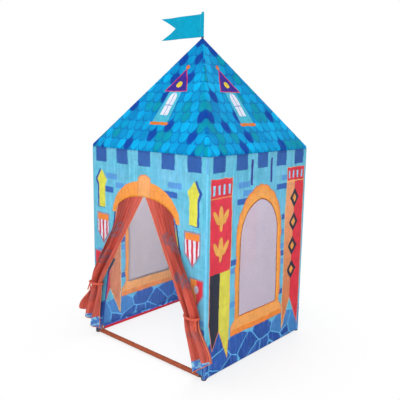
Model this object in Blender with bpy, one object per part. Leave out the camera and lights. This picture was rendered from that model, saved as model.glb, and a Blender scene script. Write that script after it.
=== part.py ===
"""A child's castle play tent, put together as the real one is.

Plastic tubes push onto corner joints and into each other, and make a square frame under a
pyramid roof. A printed cloth cover hangs on the frame: its roof wraps the eave tubes, its
walls wrap the base tubes, and a pair of door curtains is tied back at the front posts. A
flag turns on a mast that stands in the roof hub.

Metres, +Z up, and the doorway faces -Y. The origin is on the floor, at the centre of the
box round the whole tent. The pole frame's own centre lies FRAME_SETBACK behind it, because
the tied curtains stand out at the front.
"""

import math

import bmesh
import bpy
from mathutils import Matrix, Vector

# Pole frame
POLE_SPAN = 0.746
BASE_HEIGHT = 0.0145
EAVE_HEIGHT = 0.985
HUB_HEIGHT = 1.4965
TUBE_RADIUS = 0.009
TUBE_WALL = 0.0012
SPIGOT_LENGTH = 0.040
TUBE_SIDES = 10

# Corner joints
COLLAR_LIP = 0.001
COLLAR_LENGTH = 0.024
PLUG_LENGTH = 0.026

# Cloth cover
CLOTH = 0.001
CLEARANCE = 0.0003
SLEEVE_SETBACK = 0.006

# Doorway, in the front wall
DOOR_HALF_WIDTH = 0.205
DOOR_SPRING = 0.668
DOOR_RISE = 0.100
JAMB_FOOT_WIDTH = 0.048

# Windows, one in each side wall
WINDOW_HALF_WIDTH = 0.144
WINDOW_SILL = 0.232
WINDOW_SPRING = 0.600
WINDOW_RISE = 0.163

# Door curtains, measured from the middle of the doorway
TIE_HEIGHT = 0.300
TIE_INSET = 0.043
BUNDLE_HALF_WIDTH = 0.039
BUNDLE_HALF_DEPTH = 0.0235
TIE_BAND = 0.0012

# Mast and flag
MAST_RADIUS = 0.005
MAST_PROUD = 0.0055
FLAG_TIP_GAP = 0.0077
FLAG_HEIGHT = 0.108
FLAG_LENGTH = 0.285

# Worked out from the sizes above
COLLAR_RADIUS = TUBE_RADIUS + COLLAR_LIP
HALF = POLE_SPAN / 2
DOOR_FOOT_HALF_WIDTH = HALF - JAMB_FOOT_WIDTH
TIE_CENTRE = HALF - TIE_INSET
ROOF_RISE = HUB_HEIGHT - EAVE_HEIGHT
ROOF_SLOPE = math.atan2(ROOF_RISE, HALF)
RIDGE_STEPS = 2
RIDGE_TURN = math.acos(math.cos(ROOF_SLOPE) ** 2)
CLOTH_OFFSET = (COLLAR_RADIUS + CLEARANCE + CLOTH / 2) / math.cos(RIDGE_TURN / RIDGE_STEPS / 2)
MAST_HOLE = MAST_RADIUS + CLEARANCE + CLOTH / 2
TIP_HEIGHT = HUB_HEIGHT + CLOTH_OFFSET / math.cos(ROOF_SLOPE) - MAST_HOLE * math.tan(ROOF_SLOPE)
FLAG_FOOT = TIP_HEIGHT + FLAG_TIP_GAP
MAST_TOP = FLAG_FOOT + FLAG_HEIGHT + MAST_PROUD
WALL_FACE = HALF + CLOTH_OFFSET
SLEEVE_HALF = HALF - COLLAR_LENGTH - SLEEVE_SETBACK
BORE_RADIUS = TUBE_RADIUS - TUBE_WALL
PLUG_RADIUS = BORE_RADIUS * math.cos(math.pi / TUBE_SIDES) - CLEARANCE
MERGE = 1e-6
SMOOTH_ANGLE = math.radians(40)

RING_SIDES = 16
RING_SWELL = 1 / math.cos(math.pi / RING_SIDES)
TIE_HALF_WIDTH = (BUNDLE_HALF_WIDTH + CLOTH / 2 + CLEARANCE) * RING_SWELL + TIE_BAND / 2
TIE_HALF_DEPTH = (BUNDLE_HALF_DEPTH + CLOTH / 2 + CLEARANCE) * RING_SWELL + TIE_BAND / 2
TIE_FRONT = WALL_FACE + CLOTH / 2 + CLEARANCE + TIE_BAND / 2 + TIE_HALF_DEPTH
TENT_FRONT = TIE_FRONT + TIE_HALF_DEPTH + TIE_BAND / 2
FRAME_SETBACK = (TENT_FRONT - WALL_FACE - CLOTH / 2) / 2


def clear_scene():
    for old in list(bpy.data.objects):
        bpy.data.objects.remove(old)


def look(name, colour, roughness, metallic=0.0):
    """A plain surface in the part's own colour."""
    surface = bpy.data.materials.new(name)
    surface.use_nodes = True
    shader = surface.node_tree.nodes["Principled BSDF"]
    shader.inputs["Base Color"].default_value = (*colour, 1.0)
    shader.inputs["Roughness"].default_value = roughness
    shader.inputs["Metallic"].default_value = metallic
    surface.diffuse_color = (*colour, 1.0)
    return surface


def piece(name, bm, surface, parent):
    """Turns a bmesh into the named sub-part."""
    mesh = bpy.data.meshes.new(name)
    bm.to_mesh(mesh)
    bm.free()
    mesh.materials.append(surface)
    mesh.shade_smooth()
    mesh.set_sharp_from_angle(angle=SMOOTH_ANGLE)
    made = bpy.data.objects.new(name, mesh)
    made.parent = parent
    bpy.context.scene.collection.objects.link(made)
    return made


def cloth_piece(name, bm, surface, parent):
    """A sub-part cut from cloth: its middle surface, given the cloth's thickness."""
    made = piece(name, bm, surface, parent)
    wall = made.modifiers.new("cloth", "SOLIDIFY")
    wall.thickness = CLOTH
    wall.offset = 0
    wall.use_even_offset = True
    return made


def axis_empty(name, parent, at):
    """An empty that carries the pieces that move together, on their joint's axis."""
    made = bpy.data.objects.new(name, None)
    made.location = at
    made.parent = parent
    bpy.context.scene.collection.objects.link(made)
    return made


def turned(outline, sides, closed=False):
    """A solid turned about Z from its outline of (radius, height) points."""
    bm = bmesh.new()
    corners = [bm.verts.new((radius, 0, height)) for radius, height in outline]
    pairs = list(zip(corners, corners[1:]))
    if closed:
        pairs.append((corners[-1], corners[0]))
    edges = [bm.edges.new(pair) for pair in pairs]
    bmesh.ops.spin(bm, geom=corners + edges, cent=(0, 0, 0), axis=(0, 0, 1),
                   angle=math.tau, steps=sides, use_merge=True)
    bmesh.ops.remove_doubles(bm, verts=bm.verts, dist=MERGE)
    bmesh.ops.recalc_face_normals(bm, faces=bm.faces)
    return bm


def along(start, direction):
    """The placing that lays a piece turned about Z along a direction."""
    turn = direction.to_track_quat("Z", "Y").to_matrix().to_4x4()
    return Matrix.Translation(start) @ turn


def placed(bm, matrix):
    bmesh.ops.transform(bm, matrix=matrix, verts=bm.verts)
    return bm


def joined(solids, cuts=()):
    """One solid from overlapping ones, less the cuts."""
    shelves = {"UNION": bpy.data.collections.new("added"), "DIFFERENCE": bpy.data.collections.new("cut")}
    helpers = []
    for number, bm in enumerate([*solids, *cuts]):
        mesh = bpy.data.meshes.new("helper")
        bm.to_mesh(mesh)
        bm.free()
        helper = bpy.data.objects.new("helper", mesh)
        helpers.append(helper)
        if number:
            shelves["UNION" if number < len(solids) else "DIFFERENCE"].objects.link(helper)
    bpy.context.scene.collection.objects.link(helpers[0])
    for operation, shelf in shelves.items():
        bpy.context.scene.collection.children.link(shelf)
        if len(shelf.objects):
            step = helpers[0].modifiers.new(operation, "BOOLEAN")
            step.operation = operation
            step.operand_type = "COLLECTION"
            step.collection = shelf
    graph = bpy.context.evaluated_depsgraph_get()
    mesh = bpy.data.meshes.new_from_object(helpers[0].evaluated_get(graph))
    for helper in helpers:
        bpy.data.objects.remove(helper)
    for shelf in shelves.values():
        bpy.data.collections.remove(shelf)
    result = bmesh.new()
    result.from_mesh(mesh)
    bpy.data.meshes.remove(mesh)
    bmesh.ops.remove_doubles(result, verts=result.verts, dist=MERGE)
    bmesh.ops.triangulate(result, faces=result.faces)
    return result


def sheet(columns, rows, place, keep=None):
    """A surface of columns by rows of faces.

    place(i, j) gives the position of a corner, and keep(i, j) says which faces stay.
    """
    bm = bmesh.new()
    bmesh.ops.create_grid(bm, x_segments=columns, y_segments=rows, size=1)
    spots = {}
    for vert in bm.verts:
        i = round((vert.co.x + 1) / 2 * columns)
        j = round((vert.co.y + 1) / 2 * rows)
        spots[vert] = (i, j)
    if keep:
        corners = {face: [spots[vert] for vert in face.verts] for face in bm.faces}
        gone = [face for face, at in corners.items()
                if not keep(min(i for i, j in at), min(j for i, j in at))]
        bmesh.ops.delete(bm, geom=gone, context="FACES")
    for vert in bm.verts:
        vert.co = place(*spots[vert])
    bmesh.ops.remove_doubles(bm, verts=bm.verts, dist=MERGE)
    bmesh.ops.recalc_face_normals(bm, faces=bm.faces)
    return bm


def between(low, high, steps):
    """Evenly spaced values from low to high, both ends included."""
    return [low + (high - low) * number / steps for number in range(steps + 1)]


# Corner joints: moulded plastic, each plug pushed into a tube's bore
BALL_INSET = 0.0004
BALL_RADIUS = COLLAR_RADIUS - BALL_INSET
BALL_RINGS = 6
BALL_TURN = math.radians(11)
COLLAR_DRAFT = 0.0008
ROOT_RADIUS = COLLAR_RADIUS - COLLAR_DRAFT
ARM_ROOT = 0.002
PLUG_CHAMFER = 0.0012
SOLE_RADIUS = 0.0125
SOLE_EDGE = 0.0012
SOLE_NECK_RADIUS = 0.0085
SOLE_THICKNESS = 0.0035
HUB_BARREL_RADIUS = 0.013
HUB_BARREL_LENGTH = 0.052
HUB_ARM_ROOT = 0.008
HUB_TOP_GAP = 0.0015
HUB_TUBE_GAP = 0.0023
HUB_TURN = math.radians(7)
SOCKET_DEPTH = 0.045
SOCKET_SIDES = 16
OVERRUN = 0.010

# The barrel's rim stays under the canopy, and the rafters' ends stay clear of the barrel.
HUB_BARREL_DROP = (HUB_BARREL_RADIUS * math.tan(ROOF_SLOPE) + HUB_TOP_GAP
                   - (CLOTH_OFFSET - CLOTH / 2) / math.cos(ROOF_SLOPE))
RAFTER_SLOPE = math.atan2(ROOF_RISE, math.hypot(HALF, HALF))
HUB_COLLAR_LENGTH = ((HUB_BARREL_RADIUS + HUB_TUBE_GAP + TUBE_RADIUS * math.sin(RAFTER_SLOPE))
                     / math.cos(RAFTER_SLOPE))

CORNERS = {
    "front_left": Vector((-HALF, -HALF, 0)),
    "front_right": Vector((HALF, -HALF, 0)),
    "back_right": Vector((HALF, HALF, 0)),
    "back_left": Vector((-HALF, HALF, 0)),
}
HUB = Vector((0, 0, HUB_HEIGHT))


def base_node(corner):
    return CORNERS[corner] + Vector((0, 0, BASE_HEIGHT))


def eave_node(corner):
    return CORNERS[corner] + Vector((0, 0, EAVE_HEIGHT))


def arm(start, direction, collar, root=ARM_ROOT):
    """A joint's arm: a drafted collar, then the plug with its chamfered nose."""
    end = collar + PLUG_LENGTH
    outline = [
        (0, root),
        (ROOT_RADIUS, root),
        (COLLAR_RADIUS, collar),
        (PLUG_RADIUS, collar),
        (PLUG_RADIUS, end - PLUG_CHAMFER),
        (PLUG_RADIUS - PLUG_CHAMFER, end),
        (0, end),
    ]
    return placed(turned(outline, TUBE_SIDES), along(start, direction))


def ball(centre):
    bm = bmesh.new()
    bmesh.ops.create_uvsphere(bm, u_segments=TUBE_SIDES, v_segments=BALL_RINGS, radius=BALL_RADIUS)
    # The ball is turned a little, so that its edges cross those of the arms cleanly.
    turn = Matrix.Rotation(BALL_TURN, 4, "Z") @ Matrix.Rotation(BALL_TURN, 4, "X")
    return placed(bm, Matrix.Translation(centre) @ turn)


def sides_of(corner):
    """The directions of the two level tubes that leave a corner."""
    spot = CORNERS[corner]
    return Vector((-math.copysign(1, spot.x), 0, 0)), Vector((0, -math.copysign(1, spot.y), 0))


def base_corner(corner, surface, tent):
    """Three arms on a ball, with a round sole that stands on the floor."""
    node = base_node(corner)
    arms = [arm(node, way, COLLAR_LENGTH) for way in (*sides_of(corner), Vector((0, 0, 1)))]
    sole = turned([
        (0, 0),
        (SOLE_RADIUS - SOLE_EDGE, 0),
        (SOLE_RADIUS, SOLE_EDGE),
        (SOLE_RADIUS, SOLE_THICKNESS),
        (SOLE_NECK_RADIUS, BASE_HEIGHT - ARM_ROOT),
        (0, BASE_HEIGHT - ARM_ROOT),
    ], SOCKET_SIDES)
    solids = [ball(node), *arms, placed(sole, Matrix.Translation(CORNERS[corner]))]
    return piece(corner + "_base_corner", joined(solids), surface, tent)


def eave_corner(corner, surface, tent):
    """Four arms on a ball: two eave tubes, the post below and the rafter above."""
    node = eave_node(corner)
    ways = (*sides_of(corner), Vector((0, 0, -1)), HUB - node)
    arms = [arm(node, way, COLLAR_LENGTH) for way in ways]
    return piece(corner + "_eave_corner", joined([ball(node), *arms]), surface, tent)


def roof_hub(surface, tent):
    """A barrel with the mast's socket, and an arm down each rafter."""
    top = HUB_HEIGHT - HUB_BARREL_DROP
    barrel = turned([
        (0, top - HUB_BARREL_LENGTH),
        (HUB_BARREL_RADIUS - PLUG_CHAMFER, top - HUB_BARREL_LENGTH),
        (HUB_BARREL_RADIUS, top - HUB_BARREL_LENGTH + PLUG_CHAMFER),
        (HUB_BARREL_RADIUS, top - PLUG_CHAMFER),
        (HUB_BARREL_RADIUS - PLUG_CHAMFER, top),
        (0, top),
    ], SOCKET_SIDES)
    ways = [eave_node(corner) - HUB for corner in CORNERS]
    arms = [arm(HUB, way, HUB_COLLAR_LENGTH, HUB_ARM_ROOT) for way in ways]
    bore = (MAST_RADIUS + CLEARANCE) / math.cos(math.pi / SOCKET_SIDES)
    floor = top - SOCKET_DEPTH
    outline = [(0, floor), (bore, floor), (bore, top + OVERRUN), (0, top + OVERRUN)]
    socket = turned(outline, SOCKET_SIDES)
    # The barrel is turned a little, so that its edges cross those of the arms cleanly.
    turn = Matrix.Rotation(HUB_TURN, 4, "Z")
    solids = [placed(barrel, turn), *arms]
    return piece("roof_hub", joined(solids, [placed(socket, turn)]), surface, tent)


def tube_pair(first, second, start, end, surface, tent, end_collar=COLLAR_LENGTH):
    """Two tube sections between joints: the first is swaged down to push into the second."""
    way = end - start
    middle = way.length / 2
    foot = COLLAR_LENGTH + CLEARANCE
    shoulder = middle - CLEARANCE / 2
    tip = shoulder + SPIGOT_LENGTH
    swaged = [
        (BORE_RADIUS, foot),
        (TUBE_RADIUS, foot),
        (TUBE_RADIUS, shoulder),
        (PLUG_RADIUS, shoulder),
        (PLUG_RADIUS, tip),
        (PLUG_RADIUS - TUBE_WALL, tip),
        (PLUG_RADIUS - TUBE_WALL, shoulder - TUBE_WALL),
        (BORE_RADIUS, shoulder - 2 * TUBE_WALL),
    ]
    plain = [
        (BORE_RADIUS, middle + CLEARANCE / 2),
        (TUBE_RADIUS, middle + CLEARANCE / 2),
        (TUBE_RADIUS, way.length - end_collar - CLEARANCE),
        (BORE_RADIUS, way.length - end_collar - CLEARANCE),
    ]
    for name, outline in ((first, swaged), (second, plain)):
        bm = placed(turned(outline, TUBE_SIDES, closed=True), along(start, way))
        piece(name, bm, surface, tent)


def pole_frame(tube, joint, tent):
    for corner in CORNERS:
        base_corner(corner, joint, tent)
        eave_corner(corner, joint, tent)
        tube_pair(corner + "_post_lower", corner + "_post_upper",
                  base_node(corner), eave_node(corner), tube, tent)
        tube_pair(corner + "_rafter_lower", corner + "_rafter_upper",
                  eave_node(corner), HUB, tube, tent, HUB_COLLAR_LENGTH)
    roof_hub(joint, tent)
    runs = {
        "front": ("front_left", "front_right", "left", "right"),
        "back": ("back_left", "back_right", "left", "right"),
        "left": ("front_left", "back_left", "front", "back"),
        "right": ("front_right", "back_right", "front", "back"),
    }
    for side, (start, end, near, far) in runs.items():
        tube_pair(f"{side}_base_tube_{near}", f"{side}_base_tube_{far}",
                  base_node(start), base_node(end), tube, tent)
        tube_pair(f"{side}_eave_tube_{near}", f"{side}_eave_tube_{far}",
                  eave_node(start), eave_node(end), tube, tent)


# Roof canopy: one sheet over the rafters, its lower edge wrapped round the eave tubes
ROOF_SAG = 0.010
SLEEVE_SHARE = SLEEVE_HALF / HALF
FACE_SHARES = (-1, -SLEEVE_SHARE, -0.5, 0, 0.5, SLEEVE_SHARE, 1)
TIP_SHARE = 1 - MAST_HOLE / HALF
ROOF_SHARES = (0, 0.06, 0.2, 0.4, 0.6, 0.8, 0.94, TIP_SHARE)
EAVE_STEPS = 1
SLEEVE_TURN = math.radians(30)
SLEEVE_END = math.radians(255)
SLEEVE_ROWS = 6
SKIRT_END = EAVE_HEIGHT - CLOTH_OFFSET * math.sin(SLEEVE_TURN) + CLEARANCE


def face_turn(face):
    return Matrix.Rotation(face * math.pi / 2, 3, "Z")


def roof_canopy(surface, tent):
    """One continuous sheet: four sagging faces, rounded ridges, and a pole sleeve at each eave."""
    per_face = len(FACE_SHARES) - 1 + RIDGE_STEPS
    roof_rows = len(ROOF_SHARES)
    slope_normal = Vector((math.sin(ROOF_SLOPE), 0, math.cos(ROOF_SLOPE)))
    lean = math.pi / 2 - ROOF_SLOPE
    sleeve_angles = [-SLEEVE_TURN - step for step in between(0, SLEEVE_END - SLEEVE_TURN, SLEEVE_ROWS)]
    # Rows run from the sleeve's free end, up to the eave line, up the slope and round the mast.
    eave_angles = [*reversed(sleeve_angles), *between(0, lean, EAVE_STEPS + 1)[:-1]]
    first_slope_row = len(eave_angles)
    skirt_row = SLEEVE_ROWS
    tip_row = first_slope_row + roof_rows
    tip_ring = MAST_HOLE / math.cos(math.pi / per_face / 4)

    def place(i, j):
        face, column = divmod(i % (4 * per_face), per_face)
        turn = face_turn(face)
        on_ridge = column >= len(FACE_SHARES)
        share = 1 if on_ridge else FACE_SHARES[column]
        swing = (column - len(FACE_SHARES) + 1) / RIDGE_STEPS if on_ridge else 0
        climb = ROOF_SHARES[min(max(j - first_slope_row, 0), roof_rows - 1)]
        reach = HALF * (1 - climb)
        spot = Vector((reach, share * reach, EAVE_HEIGHT + ROOF_RISE * climb))
        if j < first_slope_row:
            angle = eave_angles[j]
            across = swing * math.pi / 2
            out = Vector((math.cos(angle), 0, math.sin(angle)))
            if j == skirt_row and abs(share) > SLEEVE_SHARE:
                out = Vector((1, 0, 0))
                spot.z = SKIRT_END
            out = Matrix.Rotation(across, 3, "Z") @ out
        else:
            next_normal = face_turn(1) @ slope_normal
            out = slope_normal.slerp(next_normal, swing) if swing else slope_normal.copy()
        if on_ridge or j < first_slope_row:
            sag = 0
        else:
            sag = ROOF_SAG * (1 - share * share) * 4 * climb * (1 - climb)
        spot += out * (CLOTH_OFFSET - sag)
        if j == tip_row:
            around = math.atan2(spot.y, spot.x)
            spot = Vector((math.cos(around) * tip_ring, math.sin(around) * tip_ring, TIP_HEIGHT))
        return turn @ spot

    def keep(i, j):
        column = i % per_face
        on_sleeve = 0 < column < len(FACE_SHARES) - 2
        return j >= skirt_row or on_sleeve

    bm = sheet(4 * per_face, tip_row, place, keep)
    return cloth_piece("roof_canopy", bm, surface, tent)


# Walls: flat cloth from the roof's edge to the floor, rounded over the corner posts
WALL_TOP_GAP = 0.0009
WALL_TOP = SKIRT_END - WALL_TOP_GAP
CORNER_STEPS = 2
CORNER_SEAM = CLEARANCE
HEM_STEPS = 6
HEM_END = math.radians(300)
ARCH_STEPS = 8
JAMB_STEPS = 2
HEAD_STEPS = 2
THRESHOLD_RADIUS = (TUBE_RADIUS + CLEARANCE + CLOTH / 2) / math.cos(math.pi / TUBE_SIDES)
SEAM_TURN = math.radians(40)
SEAM_REACH = THRESHOLD_RADIUS + CLOTH + CLEARANCE
SEAM_RISE = 0.016


def door_arch(across):
    """Height of the doorway's edge: a half ellipse on the two jambs."""
    share = min(abs(across) / DOOR_HALF_WIDTH, 1)
    return DOOR_SPRING + DOOR_RISE * math.sqrt(1 - share * share)


def jamb_flare(across, drop):
    """Moves a place across the front wall outwards, because the doorway widens to its foot.

    drop is 0 at the foot of the arch and 1 at the floor. The posts keep their places.
    """
    jamb = DOOR_HALF_WIDTH + (DOOR_FOOT_HALF_WIDTH - DOOR_HALF_WIDTH) * drop
    if abs(across) <= DOOR_HALF_WIDTH:
        return across * jamb / DOOR_HALF_WIDTH
    if abs(across) >= HALF:
        return across
    share = (abs(across) - DOOR_HALF_WIDTH) / (HALF - DOOR_HALF_WIDTH)
    return math.copysign(jamb + (HALF - jamb) * share, across)


def window_arch(across, margin=0.0):
    """Height of a pointed arch: two arcs that meet over the middle, with an even margin."""
    excess = (WINDOW_RISE ** 2 - WINDOW_HALF_WIDTH ** 2) / (2 * WINDOW_HALF_WIDTH)
    radius = WINDOW_HALF_WIDTH + excess + margin
    run = min(abs(across) + excess, radius)
    return WINDOW_SPRING + math.sqrt(radius * radius - run * run)


def wall_point(across, height, offset=CLOTH_OFFSET):
    """A point on the front wall's cloth.

    Past the posts, across counts along the arc round the post. Below the base tubes,
    height counts down the loop round the tube.
    """
    turn = max(abs(across) - HALF, 0) / offset
    wrap = max(BASE_HEIGHT - height, 0) / offset
    x = math.copysign(min(abs(across), HALF) + offset * math.sin(turn), across)
    y = HALF + offset * math.cos(turn) * math.cos(wrap)
    z = max(height, BASE_HEIGHT) - offset * math.sin(wrap)
    return Vector((x, -y, z))


def wall_columns(hole_half):
    """Places across a wall, out to the seam on each corner."""
    seam = HALF + CLOTH_OFFSET * math.pi / 4 - CORNER_SEAM / 2
    outer = between(HALF, seam, CORNER_STEPS)
    left = [-place for place in reversed(outer)]
    # The columns crowd towards the jambs, where the arch is steep.
    hole = [-hole_half * math.cos(angle) for angle in between(0, math.pi, ARCH_STEPS)]
    return [*left, -SLEEVE_HALF, *hole, SLEEVE_HALF, *outer]


def wall(name, face, surface, tent, hole_half, sill, spring, arch, hem=True):
    """One wall of the cover, with its arched hole, and its hem or its seam at the foot."""
    columns = wall_columns(hole_half)
    first_hole = CORNER_STEPS + 2
    last_hole = first_hole + ARCH_STEPS
    if hem:
        foot = [BASE_HEIGHT - CLOTH_OFFSET * turn for turn in between(HEM_END, 0, HEM_STEPS)]
    else:
        foot = [BASE_HEIGHT + SEAM_REACH * math.sin(SEAM_TURN), sill]
    sill_row = HEM_STEPS + 1 if hem else 0
    jamb = [sill] if hem else []
    above_sill = [*between(sill, spring, JAMB_STEPS)[1:], *between(spring, WALL_TOP, HEAD_STEPS)[1:]]
    heights = [*foot, *jamb, *above_sill]
    rows = len(heights) - 1
    spring_row = rows - HEAD_STEPS
    turn = face_turn(face)

    def place(i, j):
        across = columns[i]
        height = heights[j]
        if arch and first_hole <= i <= last_hole and j >= spring_row:
            edge = arch(across)
            height = edge + (WALL_TOP - edge) * (j - spring_row) / (rows - spring_row)
        if not hem and j < spring_row:
            across = jamb_flare(across, (spring - height) / (spring - heights[0]))
        spot = wall_point(across, height)
        if not hem and j == 0 and abs(across) < HALF:
            spot.y = -HALF - SEAM_REACH * math.cos(SEAM_TURN)
        return turn @ spot

    def keep(i, j):
        if hem and j < HEM_STEPS:
            return max(abs(columns[i]), abs(columns[i + 1])) <= SLEEVE_HALF
        return not (arch and first_hole <= i < last_hole and sill_row <= j < spring_row)

    bm = sheet(len(columns) - 1, rows, place, keep)
    return cloth_piece(name, bm, surface, tent)


def threshold_sleeve(surface, tent):
    """The cloth tube round the bare front base tube."""
    inner = THRESHOLD_RADIUS - CLOTH / 2
    outer = THRESHOLD_RADIUS + CLOTH / 2
    outline = [(inner, -SLEEVE_HALF), (outer, -SLEEVE_HALF), (outer, SLEEVE_HALF), (inner, SLEEVE_HALF)]
    bm = turned(outline, TUBE_SIDES, closed=True)
    middle = Vector((0, -HALF, BASE_HEIGHT))
    return piece("threshold_sleeve", placed(bm, along(middle, Vector((1, 0, 0)))), surface, tent)


# Window nets: sewn to the inside of each window, with a plain border
NET_SEAM = 0.012
NET_BORDER = 0.015
NET_BAR = 0.0035
NET_COLUMNS = 5
NET_LOW_ROWS = 6
NET_HIGH_ROWS = 3
NET_SHOULDER = 0.004


def net_lines(low, high, gaps, first, last):
    """Places of the bars' edges: a bar of its own width between gaps that share the rest."""
    room = high - low - first - last - (gaps - 1) * NET_BAR
    gap = room / gaps
    lines = [low]
    spot = low + first
    for _ in range(gaps):
        lines += [spot, spot + gap]
        spot += gap + NET_BAR
    return [*lines, high]


def window_net(name, face, surface, tent):
    half = WINDOW_HALF_WIDTH + NET_SEAM
    low = WINDOW_SILL - NET_SEAM
    across_lines = net_lines(-half, half, NET_COLUMNS, NET_BORDER, NET_BORDER)
    low_lines = net_lines(low, WINDOW_SPRING, NET_LOW_ROWS, NET_BORDER, NET_BAR / 2)
    high_lines = net_lines(0, WINDOW_RISE + NET_SEAM, NET_HIGH_ROWS, NET_BAR / 2, NET_BORDER)
    rows = len(low_lines) - 1 + len(high_lines) - 1
    inside = CLOTH_OFFSET - CLOTH - CLEARANCE
    turn = face_turn(face)

    def place(i, j):
        across = across_lines[i]
        if j < len(low_lines):
            height = low_lines[j]
        else:
            share = high_lines[j - len(low_lines) + 1] / high_lines[-1]
            top = max(window_arch(across, NET_SEAM), WINDOW_SPRING + NET_SHOULDER)
            height = WINDOW_SPRING + (top - WINDOW_SPRING) * share
        return turn @ Vector((across, -HALF - inside, height))

    def keep(i, j):
        # Bars have even numbers, and so has the bar that the two halves share at the spring.
        row = j if j < len(low_lines) - 1 else j - len(low_lines) + 1
        return not (i % 2 and row % 2)

    bm = sheet(len(across_lines) - 1, rows, place, keep)
    return cloth_piece(name, bm, surface, tent)


# Door curtains: sewn behind the arch, drawn forward past the jamb and gathered at the post
FOLD_WAVES = 2.5
FOLD_STEPS = 15
UPPER_ROWS = 9
LOWER_ROWS = 6
CURTAIN_INNER = 0.005
CURTAIN_OUTER = 0.190
CURTAIN_SEAM = 0.008
ARCH_GAP = 0.0009
JAMB_GAP = 0.003
BEHIND_WALL = WALL_FACE - CLOTH - ARCH_GAP
PAST_JAMB = WALL_FACE + CLOTH / 2 + JAMB_GAP
INNER_LEAN_SHARE = 0.35
OUTER_DROP = 0.140
TIE_APPROACH = 0.075
TIE_LEAN = 0.050
HEM_SHIFT = 0.005
HEM_WIDTH = 0.123
HEM_INNER = TIE_CENTRE + HEM_SHIFT
HEM_OUTER = HEM_INNER + HEM_WIDTH
HEM_LOW = 0.035
HEM_HIGH = 0.125
HEM_FOLD = 0.017
HEM_LEAN = 0.060
TIE_WIDTH = 0.012
TIE_DROP = 0.004
KNOT_RADIUS = 0.008
KNOT_STEPS = 8
KNOT_TURN = math.radians(-30)


def bezier(points, share):
    """A point on the cubic curve of four control points."""
    rest = 1 - share
    start, first, second, end = points
    return (start * rest ** 3 + first * 3 * rest * rest * share
            + second * 3 * rest * share * share + end * share ** 3)


def fold(share):
    """How far a point across the cloth leans into its fold, from -1 to 1."""
    return math.cos(math.tau * FOLD_WAVES * share)


def tie_point(share):
    """The gathered cloth at the tie: zigzag folds inside an oval."""
    return Vector((
        TIE_CENTRE - BUNDLE_HALF_WIDTH * math.cos(math.pi * share),
        -TIE_FRONT + BUNDLE_HALF_DEPTH * math.sin(math.pi * share) * fold(share),
        TIE_HEIGHT,
    ))


def upper_curtain_point(across, down):
    """The right curtain above the tie, from the arch (down = 0) to the tie (down = 1)."""
    x = CURTAIN_INNER + (CURTAIN_OUTER - CURTAIN_INNER) * across
    start = Vector((x, -BEHIND_WALL, door_arch(x) + CURTAIN_SEAM))
    end = tie_point(across)
    lean = (end - start) * INNER_LEAN_SHARE
    first = start + lean.lerp(Vector((0, 0, -OUTER_DROP)), across)
    first.y = -PAST_JAMB
    second = end + Vector((-TIE_LEAN * (1 - across), 0, TIE_APPROACH))
    return bezier((start, first, second, end), down)


def lower_curtain_point(across, down):
    """The right curtain below its band (down = 0), which flares to the hem (down = 1)."""
    start = tie_point(across) - Vector((0, 0, TIE_WIDTH + 2 * TIE_DROP))
    end = Vector((
        HEM_INNER + (HEM_OUTER - HEM_INNER) * across,
        -TIE_FRONT + HEM_FOLD * fold(across),
        HEM_LOW + (HEM_HIGH - HEM_LOW) * across,
    ))
    first = start - Vector((0, 0, HEM_LEAN))
    second = end + Vector((0, 0, HEM_LEAN))
    return bezier((start, first, second, end), down)


def curtain(side, name, cloth, band, tent):
    """One door curtain in two lengths, and the band that ties the lower one."""
    mirror = Matrix.Diagonal((side, 1, 1))
    origin = Vector((side * TIE_CENTRE, -TIE_FRONT, TIE_HEIGHT))

    def upper(i, j):
        spot = upper_curtain_point(i / FOLD_STEPS, j / UPPER_ROWS)
        return mirror @ (spot + Vector((0, 0, CLEARANCE / 2)))

    def lower(i, j):
        # The first row is straight, inside the band.
        across = i / FOLD_STEPS
        spot = lower_curtain_point(across, (j - 1) / (LOWER_ROWS - 1)) if j else tie_point(across)
        return mirror @ (spot - Vector((0, 0, CLEARANCE / 2))) - origin

    cloth_piece(name + "_curtain_upper", sheet(FOLD_STEPS, UPPER_ROWS, upper), cloth, tent)
    rail = axis_empty(name + "_curtain_slide", tent, origin)
    cloth_piece(name + "_curtain_lower", sheet(FOLD_STEPS, LOWER_ROWS, lower), cloth, rail)
    tie_back(side, name, band, rail)


def tie_back(side, name, surface, rail):
    """A flat band round the bundle, with its knot at the outer side."""
    high = -TIE_DROP
    low = high - TIE_WIDTH

    def oval(grow, overrun):
        top = high + overrun
        foot = low - overrun
        shape = turned([(0, foot), (1, foot), (1, top), (0, top)], RING_SIDES)
        wide = TIE_HALF_WIDTH + grow
        deep = TIE_HALF_DEPTH + grow
        bmesh.ops.scale(shape, vec=(wide, deep, 1), verts=shape.verts)
        return shape

    knot = bmesh.new()
    bmesh.ops.create_uvsphere(knot, u_segments=KNOT_STEPS, v_segments=KNOT_STEPS, radius=KNOT_RADIUS)
    spot = Vector((side * TIE_HALF_WIDTH * math.cos(KNOT_TURN), TIE_HALF_DEPTH * math.sin(KNOT_TURN),
                   (low + high) / 2))
    placed(knot, Matrix.Translation(spot))
    band = joined([oval(TIE_BAND / 2, 0), knot], [oval(-TIE_BAND / 2, OVERRUN)])
    return piece(name + "_tie_back", band, surface, rail)


# Mast and flag: the mast stands in the hub's socket, and the flag's sleeve turns on it
MAST_SIDES = 12
MAST_COLLAR_RADIUS = 0.0075
MAST_COLLAR_HEIGHT = 0.003
CAP_RADIUS = 0.0065
CAP_HEIGHT = 0.004
FLAG_NOTCH = 0.100
FLAG_WAVE = 0.006
FLAG_WAVE_LENGTH = 0.180
FLAG_COLUMNS = 12
FLAG_ROWS = 4
SLEEVE_SIDES = 12


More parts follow.
